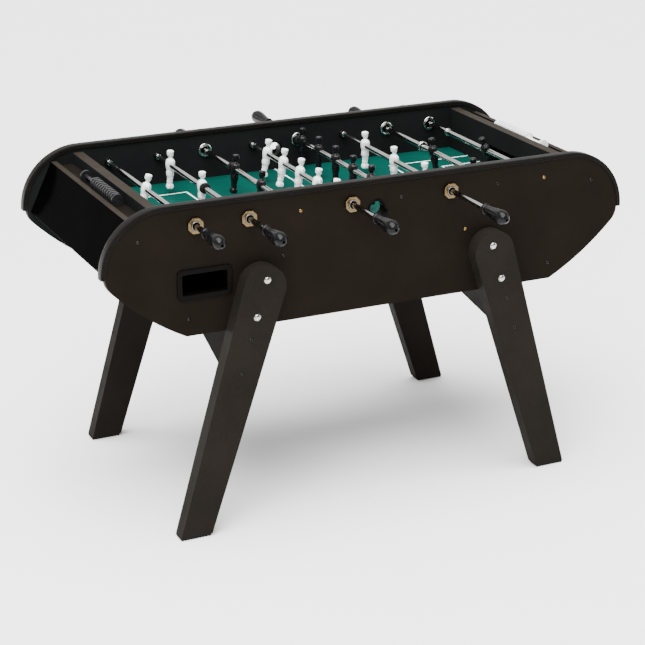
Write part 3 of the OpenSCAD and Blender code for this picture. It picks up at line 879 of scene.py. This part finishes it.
class TABLE_OT_field(bpy.types.Operator):
    """Lay the green field and its white lines"""

    bl_idname = "table.field"
    bl_label = "Field and lines"
    line_sunk = 0.0002
    line_proud = 0.00025
    circle_proud = 0.0003

    def execute(self, context):
        mesh = paint(merged_copy("playfield"), "field")
        show("playfield_board", sharpened(mesh, 35), "cabinet", "green_field", "playfield")
        s = sizes()
        half = s.line_width / 2
        bm = bmesh.new()

        def strip(x0, y0, x1, y1):
            low, high = FIELD_TOP - self.line_sunk, FIELD_TOP + self.line_proud
            corners = [(x0, y0), (x1, y0), (x1, y1), (x0, y1)]
            under = [bm.verts.new((x, y, low)) for x, y in corners]
            over = [bm.verts.new((x, y, high)) for x, y in corners]
            bm.faces.new(list(reversed(under)))
            bm.faces.new(over)
            for i in range(4):
                j = (i + 1) % 4
                bm.faces.new((under[i], under[j], over[j], over[i]))

        strip(-half, -PANEL_IN, half, PANEL_IN)
        for side in (-1, 1):
            for depth, wide in ((s.box_front, s.box_half), (s.goal_box_front, s.goal_box_half)):
                front = side * (FIELD_END - depth)
                strip(front - half, -wide, front + half, wide)
                x0, x1 = sorted((front + side * half, side * FIELD_END))
                strip(x0, wide - 2 * half, x1, wide)
                strip(x0, -wide, x1, -wide + 2 * half)
        steps = 72
        rings = []
        for radius in (s.circle_radius - half, s.circle_radius + half):
            turns = [2 * math.pi * i / steps for i in range(steps)]
            level = FIELD_TOP + self.circle_proud
            places = [(radius * math.cos(a), radius * math.sin(a), level) for a in turns]
            rings.append([bm.verts.new(p) for p in places])
        for i in range(steps):
            j = (i + 1) % steps
            bm.faces.new((rings[0][i], rings[1][i], rings[1][j], rings[0][j]))
        mesh = bpy.data.meshes.new("field_lines")
        bm.to_mesh(mesh)
        bm.free()
        show("field_lines", paint(mesh, "line"), "cabinet", "green_field")
        return {"FINISHED"}


class TABLE_OT_legs(bpy.types.Operator):
    """Finish the legs, their braces and the serrated pads"""

    bl_idname = "table.legs"
    bl_label = "Legs and pads"

    def execute(self, context):
        edge = sizes().board_edge
        for node in ("leg_near_left", "leg_near_right", "leg_far_left", "leg_far_right"):
            eased_part(node, node + "_board", "leg", "dark_laminate", edge * 1.6, segments=3)
        eased_part("leg_braces", "leg_brace_boards", "leg", "dark_laminate", edge * 1.3)
        eased_part("foot_pads", "serrated_foot_pads", "rubber", "black_rubber", 0.4 * MM, segments=1)
        return {"FINISHED"}


class TABLE_OT_openings(bpy.types.Operator):
    """Finish the return openings, ball entries and ball trays"""

    bl_idname = "table.openings"
    bl_label = "Openings and trays"

    def execute(self, context):
        eased_part(
            "opening_trims", "opening_bezels", "trim", "black_plastic", 1.6 * MM, segments=3, angle=40
        )
        eased_part("ball_trays", "ball_tray_boards", "tray", "black_plastic", 0.8 * MM)
        return {"FINISHED"}


class TABLE_OT_fasteners(bpy.types.Operator):
    """Stamp the screws and bolts where the solid parts have them"""

    bl_idname = "table.fasteners"
    bl_label = "Screws and bolts"
    screw_dome = 3 * MM
    bolt_dome = 6 * MM

    def execute(self, context):
        piece = seed_object("screw_head", self.screw_head(5.2 * MM, self.screw_dome))
        mesh = stamped("screws", self.spots("wood_screws", self.screw_dome), piece, "screw")
        paint(mesh, "screw", "zinc", choose=lambda c, n: 1 if self.is_zinc(c) else 0)
        show("wood_screw_heads", sharpened(mesh, 30), "cabinet", "black_steel", "wood_screws")
        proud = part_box("leg_bolts")[1].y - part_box("leg_far_left")[1].y
        piece = seed_object("bolt_head", self.bolt_head(10 * MM, proud))
        mesh = stamped("bolts", self.spots("leg_bolts", self.bolt_dome), piece, "bolt")
        show("leg_bolt_domes", sharpened(mesh, 40), "cabinet", "chrome", "leg_bolts")
        return {"FINISHED"}

    def is_zinc(self, spot):
        """Three of each side's screws are yellow zinc: two by the rods and one low on the panel"""
        along = spot.x if spot.y < 0 else -spot.x
        near = 0.03
        by_rods = abs(along + 0.225) < near or abs(along - 0.53) < near
        below = abs(along - 0.275) < near
        return spot.z > 0.84 and by_rods or spot.z > 0.72 and below

    def spots(self, node, head):
        """Where each head's seat is, and the turn that points the head outward"""
        found = []
        for low, high in islands(node):
            x, z = (low.x + high.x) / 2, (low.z + high.z) / 2
            if (low.y + high.y) < 0:
                found.append((x, low.y + head, z, 0.0))
            else:
                found.append((x, high.y - head, z, math.pi))
        return found

    def screw_head(self, radius, head):
        """A domed head with a cross recess, and the start of its shank"""
        dome = [(0.0, -head), (0.25 * radius, -0.985 * head), (0.45 * radius, -0.90 * head)]
        dome += [(0.65 * radius, -0.76 * head), (0.82 * radius, -0.54 * head), (0.95 * radius, -0.26 * head)]
        dome += [(radius, -0.06 * head), (0.97 * radius, 0.0)]
        profile = dome + [(0.46 * radius, 0.0), (0.46 * radius, 0.012), (0.0, 0.012)]
        blank = seed_object("screw_blank", lathe("screw_blank", profile, steps=24))
        cutter = bmesh.new()
        for turn in (0, math.pi / 2):
            arm = bmesh.ops.create_cube(cutter, size=1.0)["verts"]
            bmesh.ops.scale(cutter, vec=(1.05 * radius, 0.9 * head, 0.22 * radius), verts=arm)
            bmesh.ops.rotate(cutter, cent=(0, 0, 0), matrix=Matrix.Rotation(turn, 3, "Y"), verts=arm)
            bmesh.ops.translate(cutter, vec=(0, -0.95 * head, 0), verts=arm)
        tool_mesh = bpy.data.meshes.new("recess")
        cutter.to_mesh(tool_mesh)
        cutter.free()
        tool = seed_object("recess", tool_mesh)

        def modifiers(seed):
            cut = seed.modifiers.new("recess", "BOOLEAN")
            cut.object = tool
            cut.operation = "DIFFERENCE"
            cut.use_self = True

        mesh = plain_mesh(blank, modifiers)
        bpy.data.objects.remove(tool)
        return smooth_faces(mesh)

    def bolt_head(self, radius, head):
        """A smooth chrome dome on a thin base flange"""
        profile = [(0.0, -head)]
        for i in range(1, 10):
            a = math.pi / 2 * i / 9
            profile.append((0.93 * radius * math.sin(a), -head * (0.18 + 0.82 * math.cos(a))))
        profile += [(0.94 * radius, -0.16 * head), (radius, -0.13 * head), (radius, 0.0), (0.4 * radius, 0.0)]
        profile += [(0.4 * radius, 0.02), (0.0, 0.02)]
        return lathe("bolt_head", profile, steps=40)


class TABLE_OT_bushings(bpy.types.Operator):
    """Finish the bushings, nuts and bar mounts at the walls"""

    bl_idname = "table.bushings"
    bl_label = "Bushings, nuts and mounts"

    def execute(self, context):
        edge = sizes().metal_edge
        places = []
        for low, high in islands("rod_bushings"):
            x = (low.x + high.x) / 2
            places.append((x, -PANEL_IN, ROD_Z, 0.0) if low.y < 0 else (x, PANEL_IN, ROD_Z, math.pi))
        near = [b for b in islands("rod_bushings") if b[0].y < 0][0]
        flange = (near[1].x - near[0].x) / 2
        face, end = near[1].y + PANEL_IN, near[0].y + PANEL_IN
        ring = self.turned("bushing_flanges", self.flange(flange, face, end))
        mesh = stamped("bushing_flanges", places, ring, "chrome")
        # Faces at the sleeve's outer end, inside the nut's hole, take the dark sleeve look as painted shade.
        outer = PANEL_OUT - 2 * MM
        paint(mesh, "chrome", "sleeve", choose=lambda c, n: 1 if abs(c.y) > outer else 0)
        show("bushing_flanges", mesh, "cabinet", "chrome", "rod_bushings")
        liner = self.turned("bushing_liners", self.liner(face, end))
        mesh = stamped("bushing_liners", places, liner, "trim")
        show("bushing_liners", mesh, "cabinet", "black_plastic")
        eased_part("rod_nuts", "octagonal_nuts", "brass", "brass", edge * 2.6)
        eased_part("bar_mounts", "bar_mount_domes", "chrome", "chrome", edge, angle=40)
        return {"FINISHED"}

    def turned(self, name, profile):
        return seed_object(name, sharpened(lathe(name, profile, steps=48), 40))

    def flange(self, wide, face, end):
        """A rounded chrome ring inside the wall and a sleeve through it, along Y from the inner face"""
        bore, sleeve, inner = 11.2 * MM, 13.0 * MM, 12.4 * MM
        crest = (wide + inner) / 2
        half = (wide - inner) / 2
        profile = [(bore, end), (sleeve - 0.5 * MM, end), (sleeve, end + 0.5 * MM)]
        profile += [(sleeve, end + 1.2 * MM), (sleeve - 0.5 * MM, end + 1.5 * MM), (sleeve, end + 1.8 * MM)]
        profile += [(sleeve, 0.0), (wide - 0.3 * MM, 0.0)]
        for k in range(13):
            a = math.pi * k / 12
            rise = (face - 1.2 * MM) * math.sin(a) ** 0.8
            profile.append((crest + half * math.cos(a), 1.2 * MM + rise))
        profile += [(inner, 0.6 * MM), (bore, 0.6 * MM), (bore, end)]
        return profile

    def liner(self, face, end):
        """The dark plastic sleeve that the tube runs in"""
        bore, out = 8.15 * MM, 11.2 * MM
        profile = [(bore, end + 0.8 * MM), (bore + 0.5 * MM, end + 0.3 * MM)]
        profile += [(out - 0.4 * MM, end + 0.3 * MM), (out - 0.05 * MM, end + 0.8 * MM)]
        profile += [(out - 0.05 * MM, 1.0 * MM), (out, 1.4 * MM)]
        profile += [(out - 0.5 * MM, 2.6 * MM), (bore + 0.9 * MM, face - 1.6 * MM)]
        profile += [(bore + 0.2 * MM, face - 1.8 * MM), (bore, face - 2.4 * MM)]
        return profile + [(bore, end + 0.8 * MM)]


class TABLE_OT_rods(bpy.types.Operator):
    """Finish the inner bars and outer tubes"""

    bl_idname = "table.rods"
    bl_label = "Bars and tubes"

    def execute(self, context):
        edge = sizes().metal_edge
        for n in RODS:
            eased_part(f"inner_bar_{n}", f"inner_bar_{n}_steel", "bar", "steel_bar", edge, body=f"bar_{n}")
            eased_part(f"tube_{n}", f"tube_{n}_chrome", "chrome", "chrome", edge, body=f"rod_{n}")
        return {"FINISHED"}


def skin(bm, rings):
    """Walls between rings of points, closed at both ends"""
    steps = len(rings[0])
    for low, high in zip(rings, rings[1:]):
        for k in range(steps):
            m = (k + 1) % steps
            bm.faces.new((low[k], low[m], high[m], high[k]))
    bm.faces.new(list(reversed(rings[0])))
    bm.faces.new(rings[-1])


def loft(bm, sections, steps=28):
    """A closed body through (z, half width, half depth, x, y, squareness) sections"""
    rings = []
    for z, wide, deep, x, y, square in sections:
        ring = []
        power = 2.0 / square
        for k in range(steps):
            a = 2 * math.pi * k / steps
            c, s = math.cos(a), math.sin(a)
            reach = deep * math.copysign(abs(c) ** power, c)
            spread = wide * math.copysign(abs(s) ** power, s)
            ring.append(bm.verts.new((x + reach, y + spread, z)))
        rings.append(ring)
    skin(bm, rings)


def limb(bm, path, steps=14):
    """A round limb through (point, radius) pairs"""
    rings = []
    for i, (point, radius) in enumerate(path):
        before = Vector(path[max(0, i - 1)][0])
        after = Vector(path[min(len(path) - 1, i + 1)][0])
        along = (after - before).normalized()
        side = along.cross(Vector((1, 0, 0))).normalized()
        up = side.cross(along)
        ring = []
        for k in range(steps):
            a = 2 * math.pi * k / steps
            ring.append(bm.verts.new(Vector(point) + radius * (math.cos(a) * side + math.sin(a) * up)))
        rings.append(ring)
    skin(bm, rings)


def in_metres(sections, side=1):
    """Loft sections given in millimetres, lowest first, on one side of the figure"""
    return [
        (z * MM, wide * MM, deep * MM, x * MM, side * y * MM, square)
        for z, wide, deep, x, y, square in sorted(sections)
    ]


def ball(bm, centre, radii, steps=12):
    """A squashed ball, its place and radii given in millimetres"""
    made = bmesh.ops.create_uvsphere(bm, u_segments=steps, v_segments=steps // 2, radius=1.0)["verts"]
    bmesh.ops.scale(bm, vec=Vector(radii) * MM, verts=made)
    bmesh.ops.translate(bm, vec=Vector(centre) * MM, verts=made)


class TABLE_OT_players(bpy.types.Operator):
    """Model one player and set the teams on their rods"""

    bl_idname = "table.players"
    bl_label = "Players"
    least_man = 60 * MM

    def execute(self, context):
        player = seed_object("player_pattern", self.figure())
        for n in RODS:
            node = f"players_{n}"
            solids = islands(node)
            men = sorted((b for b in solids if b[1].z - b[0].z > self.least_man), key=lambda b: b[0].y)
            stop = [b for b in solids if b[1].z - b[0].z < self.least_man][0]
            centres = [(low.y + high.y) / 2 for low, high in men]
            spacing = centres[1] - centres[0] if len(centres) > 1 else 0.1
            white = n in WHITE_RODS
            x = middle(f"inner_bar_{n}").x
            lean = math.radians(LEAN[n - 1])
            mesh = grown(
                node,
                bpy.data.meshes.new(node),
                row_tree(),
                Piece=player,
                Count=len(centres),
                Spacing=spacing,
                First=(x, centres[0], ROD_Z),
                Turn=(0.0, lean, 0.0) if white else (0.0, -lean, math.pi),
                Finish=LOOKS["white" if white else "black"],
            )
            smooth_faces(mesh)
            slot = "white_plastic" if white else "black_gloss_plastic"
            show(f"team_figures_{n}", mesh, f"rod_{n}", slot, node)
            low, high = stop
            ring = self.stop_ring((high.x - low.x) / 2, high.y - low.y)
            ring.transform(Matrix.Translation((x, low.y, ROD_Z)))
            look, slot = ("chrome", "chrome") if n in CHROME_STOP_RODS else ("rubber", "black_rubber")
            show(f"stop_ring_{n}", paint(ring, look), f"rod_{n}", slot)
        bpy.data.objects.remove(player)
        return {"FINISHED"}

    def stop_ring(self, radius, length):
        """A rounded ring that grips the tube, with a groove round its middle"""
        bore, r, e = 8 * MM, radius, 2.2 * MM
        groove = r - 0.7 * MM
        profile = [(bore, 0.0), (r - e, 0.0), (r - 0.3 * e, 0.3 * e), (r, e), (r, length * 0.4)]
        profile += [(groove, length * 0.46), (groove, length * 0.54), (r, length * 0.6), (r, length - e)]
        profile += [(r - 0.3 * e, length - 0.3 * e), (r - e, length), (bore, length), (bore, 0.0)]
        return sharpened(lathe("stop_ring", profile, steps=48), 50)

    def figure(self):
        """One cast player facing +X, standing on the rod's axis"""
        bm = bmesh.new()
        body = [
            (21.0, 4.8, 5.0, 0.0, 0, 2.0),
            (18.5, 7.0, 6.8, 0.0, 0, 2.1),
            (16.5, 11.2, 9.4, 0.0, 0, 2.3),
            (13.5, 13.2, 11.4, 0.2, 0, 2.5),
            (9.0, 13.4, 12.8, 0.4, 0, 2.6),
            (3.0, 13.0, 13.2, 0.4, 0, 2.6),
            (-4.0, 12.2, 12.8, 0.2, 0, 2.5),
            (-10.0, 11.0, 11.4, 0.0, 0, 2.4),
            (-14.5, 10.0, 10.2, 0.0, 0, 2.3),
            (-16.0, 10.4, 10.2, 0.0, 0, 2.4),
            (-21.0, 11.2, 10.8, 0.0, 0, 2.5),
            (-27.0, 11.2, 10.8, 0.1, 0, 2.6),
            (-31.5, 10.8, 10.2, 0.1, 0, 2.6),
            (-32.5, 9.6, 9.0, 0.1, 0, 2.6),
        ]
        loft(bm, in_metres(body))
        for side in (-1, 1):
            leg = [
                (-28.0, 5.3, 8.2, 0.0, 4.8, 2.2),
                (-36.0, 5.0, 7.8, 0.2, 4.7, 2.2),
                (-42.0, 4.6, 6.9, 0.4, 4.6, 2.2),
                (-45.0, 4.4, 6.7, 0.3, 4.6, 2.2),
                (-49.0, 4.7, 7.0, -0.3, 4.5, 2.2),
                (-53.5, 4.3, 6.2, -0.5, 4.4, 2.2),
                (-58.0, 3.9, 5.6, -0.3, 4.2, 2.2),
            ]
            loft(bm, in_metres(leg, side), 20)
            arm = [
                ((0.0, 9.5, 14.0), 4.0),
                ((0.0, 12.2, 12.0), 4.1),
                ((0.2, 13.2, 6.0), 3.7),
                ((-0.6, 13.4, -1.0), 3.4),
                ((-0.2, 12.9, -6.0), 3.3),
                ((1.4, 11.9, -12.0), 3.0),
                ((3.0, 10.6, -17.5), 2.8),
                ((3.8, 9.6, -21.0), 2.9),
                ((4.0, 9.0, -23.0), 1.8),
            ]
            limb(bm, [(Vector((x, side * y, z)) * MM, r * MM) for (x, y, z), r in arm])
        boot = [
            (-53.5, 7.4, 6.0, 0.0, 0, 2.4),
            (-56.5, 9.8, 8.2, 0.3, 0, 2.8),
            (-59.5, 10.6, 9.8, 0.5, 0, 3.2),
            (-64.0, 10.9, 10.4, 0.4, 0, 3.4),
            (-67.5, 10.4, 9.8, 0.2, 0, 3.4),
            (-69.4, 9.0, 8.4, 0.0, 0, 3.2),
            (-70.0, 7.4, 7.0, 0.0, 0, 3.0),
        ]
        loft(bm, in_metres(boot))
        neck = [((0, 0, 15.0), 5.6), ((0, 0, 20.0), 4.9), ((0.2, 0, 25.0), 4.8)]
        limb(bm, [(Vector(p) * MM, r * MM) for p, r in neck], 20)
        head = [
            (22.6, 3.4, 3.6, 1.4, 0, 2.1),
            (23.8, 5.2, 5.8, 1.0, 0, 2.2),
            (26.0, 6.6, 7.6, 0.5, 0, 2.2),
            (29.0, 7.5, 8.4, 0.1, 0, 2.1),
            (32.0, 7.9, 8.7, -0.1, 0, 2.1),
            (35.0, 8.1, 8.8, -0.3, 0, 2.1),
            (38.0, 7.8, 8.5, -0.5, 0, 2.1),
            (40.6, 6.6, 7.2, -0.6, 0, 2.0),
            (42.3, 4.2, 4.7, -0.6, 0, 2.0),
            (43.0, 1.2, 1.4, -0.6, 0, 2.0),
        ]
        loft(bm, in_metres(head))
        hair = [
            (28.5, 6.8, 4.8, -4.6, 0, 2.1),
            (31.0, 8.6, 7.0, -2.9, 0, 2.2),
            (35.0, 9.3, 8.8, -1.4, 0, 2.3),
            (38.0, 9.4, 9.7, -0.5, 0, 2.5),
            (40.6, 9.0, 9.4, -0.4, 0, 2.5),
            (42.2, 7.4, 7.8, -0.5, 0, 2.4),
            (43.0, 4.4, 4.8, -0.6, 0, 2.2),
        ]
        loft(bm, in_metres(hair))
        nose = ((8.6, 0, 30.2), (1.5, 1.2, 1.9))
        brow = ((7.6, 0, 33.4), (1.2, 5.0, 0.9))
        mouth = ((7.7, 0, 26.6), (1.0, 2.2, 0.6))
        for centre, radii in (nose, brow, mouth):
            ball(bm, centre, radii)
        for side in (-1, 1):
            ball(bm, (-0.4, side * 8.0, 31.0), (1.5, 0.9, 2.2))
        bmesh.ops.recalc_face_normals(bm, faces=bm.faces)
        mesh = bpy.data.meshes.new("player_blocks")
        bm.to_mesh(mesh)
        bm.free()
        grain = sizes().player_grain

        def modifiers(seed):
            cast = seed.modifiers.new("cast", "REMESH")
            cast.mode = "VOXEL"
            cast.voxel_size = grain
            soften = seed.modifiers.new("soften", "SMOOTH")
            soften.factor = 0.5
            soften.iterations = 3
            thin = seed.modifiers.new("thin", "DECIMATE")
            thin.ratio = 0.3

        mesh = plain_mesh(seed_object("player_blocks", mesh), modifiers)
        return smooth_faces(mesh)


class TABLE_OT_handles(bpy.types.Operator):
    """Turn the fluted handles"""

    bl_idname = "table.handles"
    bl_label = "Handles"

    def execute(self, context):
        for n in RODS:
            low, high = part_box(f"handle_{n}")
            length = high.y - low.y
            mesh = self.grip((high.x - low.x) / 2, length)
            x = middle(f"inner_bar_{n}").x
            if n in TURNED_RODS:
                place = Matrix.Translation((x, low.y, ROD_Z)) @ Matrix.Rotation(math.pi, 4, "Z")
            else:
                place = Matrix.Translation((x, high.y, ROD_Z))
            mesh.transform(place)
            show(f"handle_{n}_grip", paint(mesh, "handle"), f"rod_{n}", "black_gloss_plastic", f"handle_{n}")
        return {"FINISHED"}

    def grip(self, fat, length):
        """Neck ring, waist, fluted taper and domed end with a hole, running from the origin to -Y"""
        flutes = sizes().flutes
        neck, hole, socket, socket_end = 14.5 * MM, 5 * MM, 8.1 * MM, -72 * MM
        start, stop = -16 * MM, -(length - 30 * MM)
        profile = [(socket, 0.0), (neck - 1.6 * MM, 0.0), (neck - 0.4 * MM, -0.8 * MM)]
        profile += [(neck, -2.2 * MM), (neck, -7.2 * MM), (neck - 0.6 * MM, -8.6 * MM)]
        profile += [(neck - 2.2 * MM, -9.4 * MM), (neck - 2.8 * MM, -10.6 * MM)]
        profile += [(neck - 2.6 * MM, -12.2 * MM)]
        rings = 22
        first = neck - 1.6 * MM
        for i in range(rings + 1):
            t = i / rings
            swell = t * t * (3 - 2 * t)
            profile.append((first + (fat - first) * (0.35 * t + 0.65 * swell), start + (stop - start) * t))
        dome, dome_arc = 14, math.radians(80)
        dome_reach = (length + stop - 1.6 * MM) / math.sin(dome_arc)
        for i in range(1, dome + 1):
            a = dome_arc * i / dome
            profile.append((fat * math.cos(a), stop - dome_reach * math.sin(a)))
        profile += [(hole + 1.2 * MM, -(length - 0.4 * MM)), (hole + 0.3 * MM, -(length - 0.1 * MM))]
        profile += [(hole, -(length - 1.2 * MM)), (hole, socket_end), (socket, socket_end), (socket, 0.0)]

        def shape(radius, y, a):
            run_out = stop - 6 * MM
            if y > start or y < run_out or radius < 8.5 * MM:
                return radius
            t = min(1.0, (start - y) / (14 * MM)) * min(1.0, max(0.0, (y - run_out) / (16 * MM)))
            wave = abs(math.cos(flutes * a / 2))
            return radius * (1 - 0.085 * t * (1 - wave**0.6))

        return sharpened(lathe("handle_grip", profile, steps=128, shape=shape), 60)


class TABLE_OT_counters(bpy.types.Operator):
    """Finish the counters' rails and tabs"""

    bl_idname = "table.counters"
    bl_label = "Score counters"

    def execute(self, context):
        for side, look, slot in (
            ("left", "tab_black", "black_gloss_plastic"),
            ("right", "tab_white", "white_plastic"),
        ):
            pieces = (
                ("counter_rail_" + side, "cabinet"),
                ("score_tabs_" + side, "tabs_" + side),
                ("score_tab_" + side + "_front", "front_tab_" + side),
            )
            for node, body in pieces:
                eased_part(node, node + "_finished", look, slot, 0.9 * MM, body=body, segments=3, angle=25)
        return {"FINISHED"}


class TABLE_OT_stage(bpy.types.Operator):
    """Set the floor, lights and camera"""

    bl_idname = "table.stage"
    bl_label = "Stage"

    def execute(self, context):
        mesh = bpy.data.meshes.new("studio_floor")
        reach = 60.0
        corners = [(-reach, -reach, 0), (reach, -reach, 0), (reach, reach, 0), (-reach, reach, 0)]
        mesh.from_pydata(corners, [], [(0, 1, 2, 3)])
        mesh.materials.append(floor_finish("studio_floor"))
        floor = bpy.data.objects.new("studio_floor", mesh)
        context.scene.collection.objects.link(floor)
        world = bpy.data.worlds.new("studio")
        world.use_nodes = True
        context.scene.world = world
        self.surround(world.node_tree)
        self.sun(10.0)
        self.soft_box("key", (-2.2, -2.6, 3.6), (0, 0, 0.6), 2.4, 2.4, 200)
        self.soft_box("right_fill", (3.6, -1.5, 2.2), (0, 0, 0.6), 1.6, 2.2, 50)
        data = bpy.data.cameras.new("camera")
        data.sensor_width = 36
        data.lens = 103.744
        data.clip_start, data.clip_end = 0.1, 200
        camera = bpy.data.objects.new("camera", data)
        context.scene.collection.objects.link(camera)
        camera.location = (-2.1827, -4.6248, 2.3079)
        azimuth, elevation = math.radians(25.306), math.radians(-20.413)
        level = math.cos(elevation)
        ahead = Vector((math.sin(azimuth) * level, math.cos(azimuth) * level, math.sin(elevation)))
        camera.rotation_mode = "QUATERNION"
        camera.rotation_quaternion = ahead.to_track_quat("-Z", "Y")
        context.scene.camera = camera
        return {"FINISHED"}

    def surround(self, tree):
        """A soft room that is brightest behind the table and dim behind the viewer"""
        shade = tree.nodes["Background"]
        shade.inputs["Color"].default_value = (1, 1, 1, 1)
        facing = tree.nodes.new("ShaderNodeSeparateXYZ")
        ramp = tree.nodes.new("ShaderNodeMapRange")
        tree.links.new(tree.nodes.new("ShaderNodeTexCoord").outputs["Generated"], facing.inputs["Vector"])
        tree.links.new(facing.outputs["Y"], ramp.inputs["Value"])
        for key, number in (("From Min", -0.2), ("From Max", 0.8), ("To Min", 0.35), ("To Max", 1.3)):
            ramp.inputs[key].default_value = number
        tree.links.new(ramp.outputs["Result"], shade.inputs["Strength"])

    def sun(self, strength):
        data = bpy.data.lights.new("overhead", "SUN")
        data.energy = strength
        data.angle = math.radians(60)
        lamp = bpy.data.objects.new("overhead", data)
        bpy.context.scene.collection.objects.link(lamp)
        lamp.rotation_euler = (math.radians(8), math.radians(-10), 0)

    def soft_box(self, name, place, aim, wide, tall, power):
        data = bpy.data.lights.new(name, "AREA")
        data.shape = "RECTANGLE"
        data.size, data.size_y = wide, tall
        data.energy = power
        lamp = bpy.data.objects.new(name, data)
        bpy.context.scene.collection.objects.link(lamp)
        lamp.location = place
        lamp.rotation_mode = "QUATERNION"
        lamp.rotation_quaternion = (Vector(aim) - Vector(place)).to_track_quat("-Z", "Y")


STEPS = (
    TABLE_OT_finishes,
    TABLE_OT_cabinet,
    TABLE_OT_rim,
    TABLE_OT_field,
    TABLE_OT_legs,
    TABLE_OT_openings,
    TABLE_OT_fasteners,
    TABLE_OT_bushings,
    TABLE_OT_rods,
    TABLE_OT_players,
    TABLE_OT_handles,
    TABLE_OT_counters,
    TABLE_OT_stage,
)


class TABLE_PT_builder(bpy.types.Panel):
    """Lists the table's building steps, sizes and colours"""

    bl_idname = "TABLE_PT_builder"
    bl_label = "Foosball Table"
    bl_space_type = "VIEW_3D"
    bl_region_type = "UI"
    bl_category = "Foosball Table"

    def draw(self, context):
        column = self.layout.column()
        for step in STEPS:
            column.operator(step.bl_idname)
        for settings in (context.scene.table_sizes, context.scene.table_colours):
            for key in settings.__annotations__:
                column.prop(settings, key)


CLASSES = (TableSizes, TableColours, *STEPS, TABLE_PT_builder)


def register():
    for cls in CLASSES:
        bpy.utils.register_class(cls)
    bpy.types.Scene.table_sizes = bpy.props.PointerProperty(type=TableSizes)
    bpy.types.Scene.table_colours = bpy.props.PointerProperty(type=TableColours)


def unregister():
    del bpy.types.Scene.table_colours
    del bpy.types.Scene.table_sizes
    for cls in reversed(CLASSES):
        bpy.utils.unregister_class(cls)


def main():
    register()
    for step in STEPS:
        group, name = step.bl_idname.split(".")
        getattr(getattr(bpy.ops, group), name)()


if __name__ == "__main__":
    main()
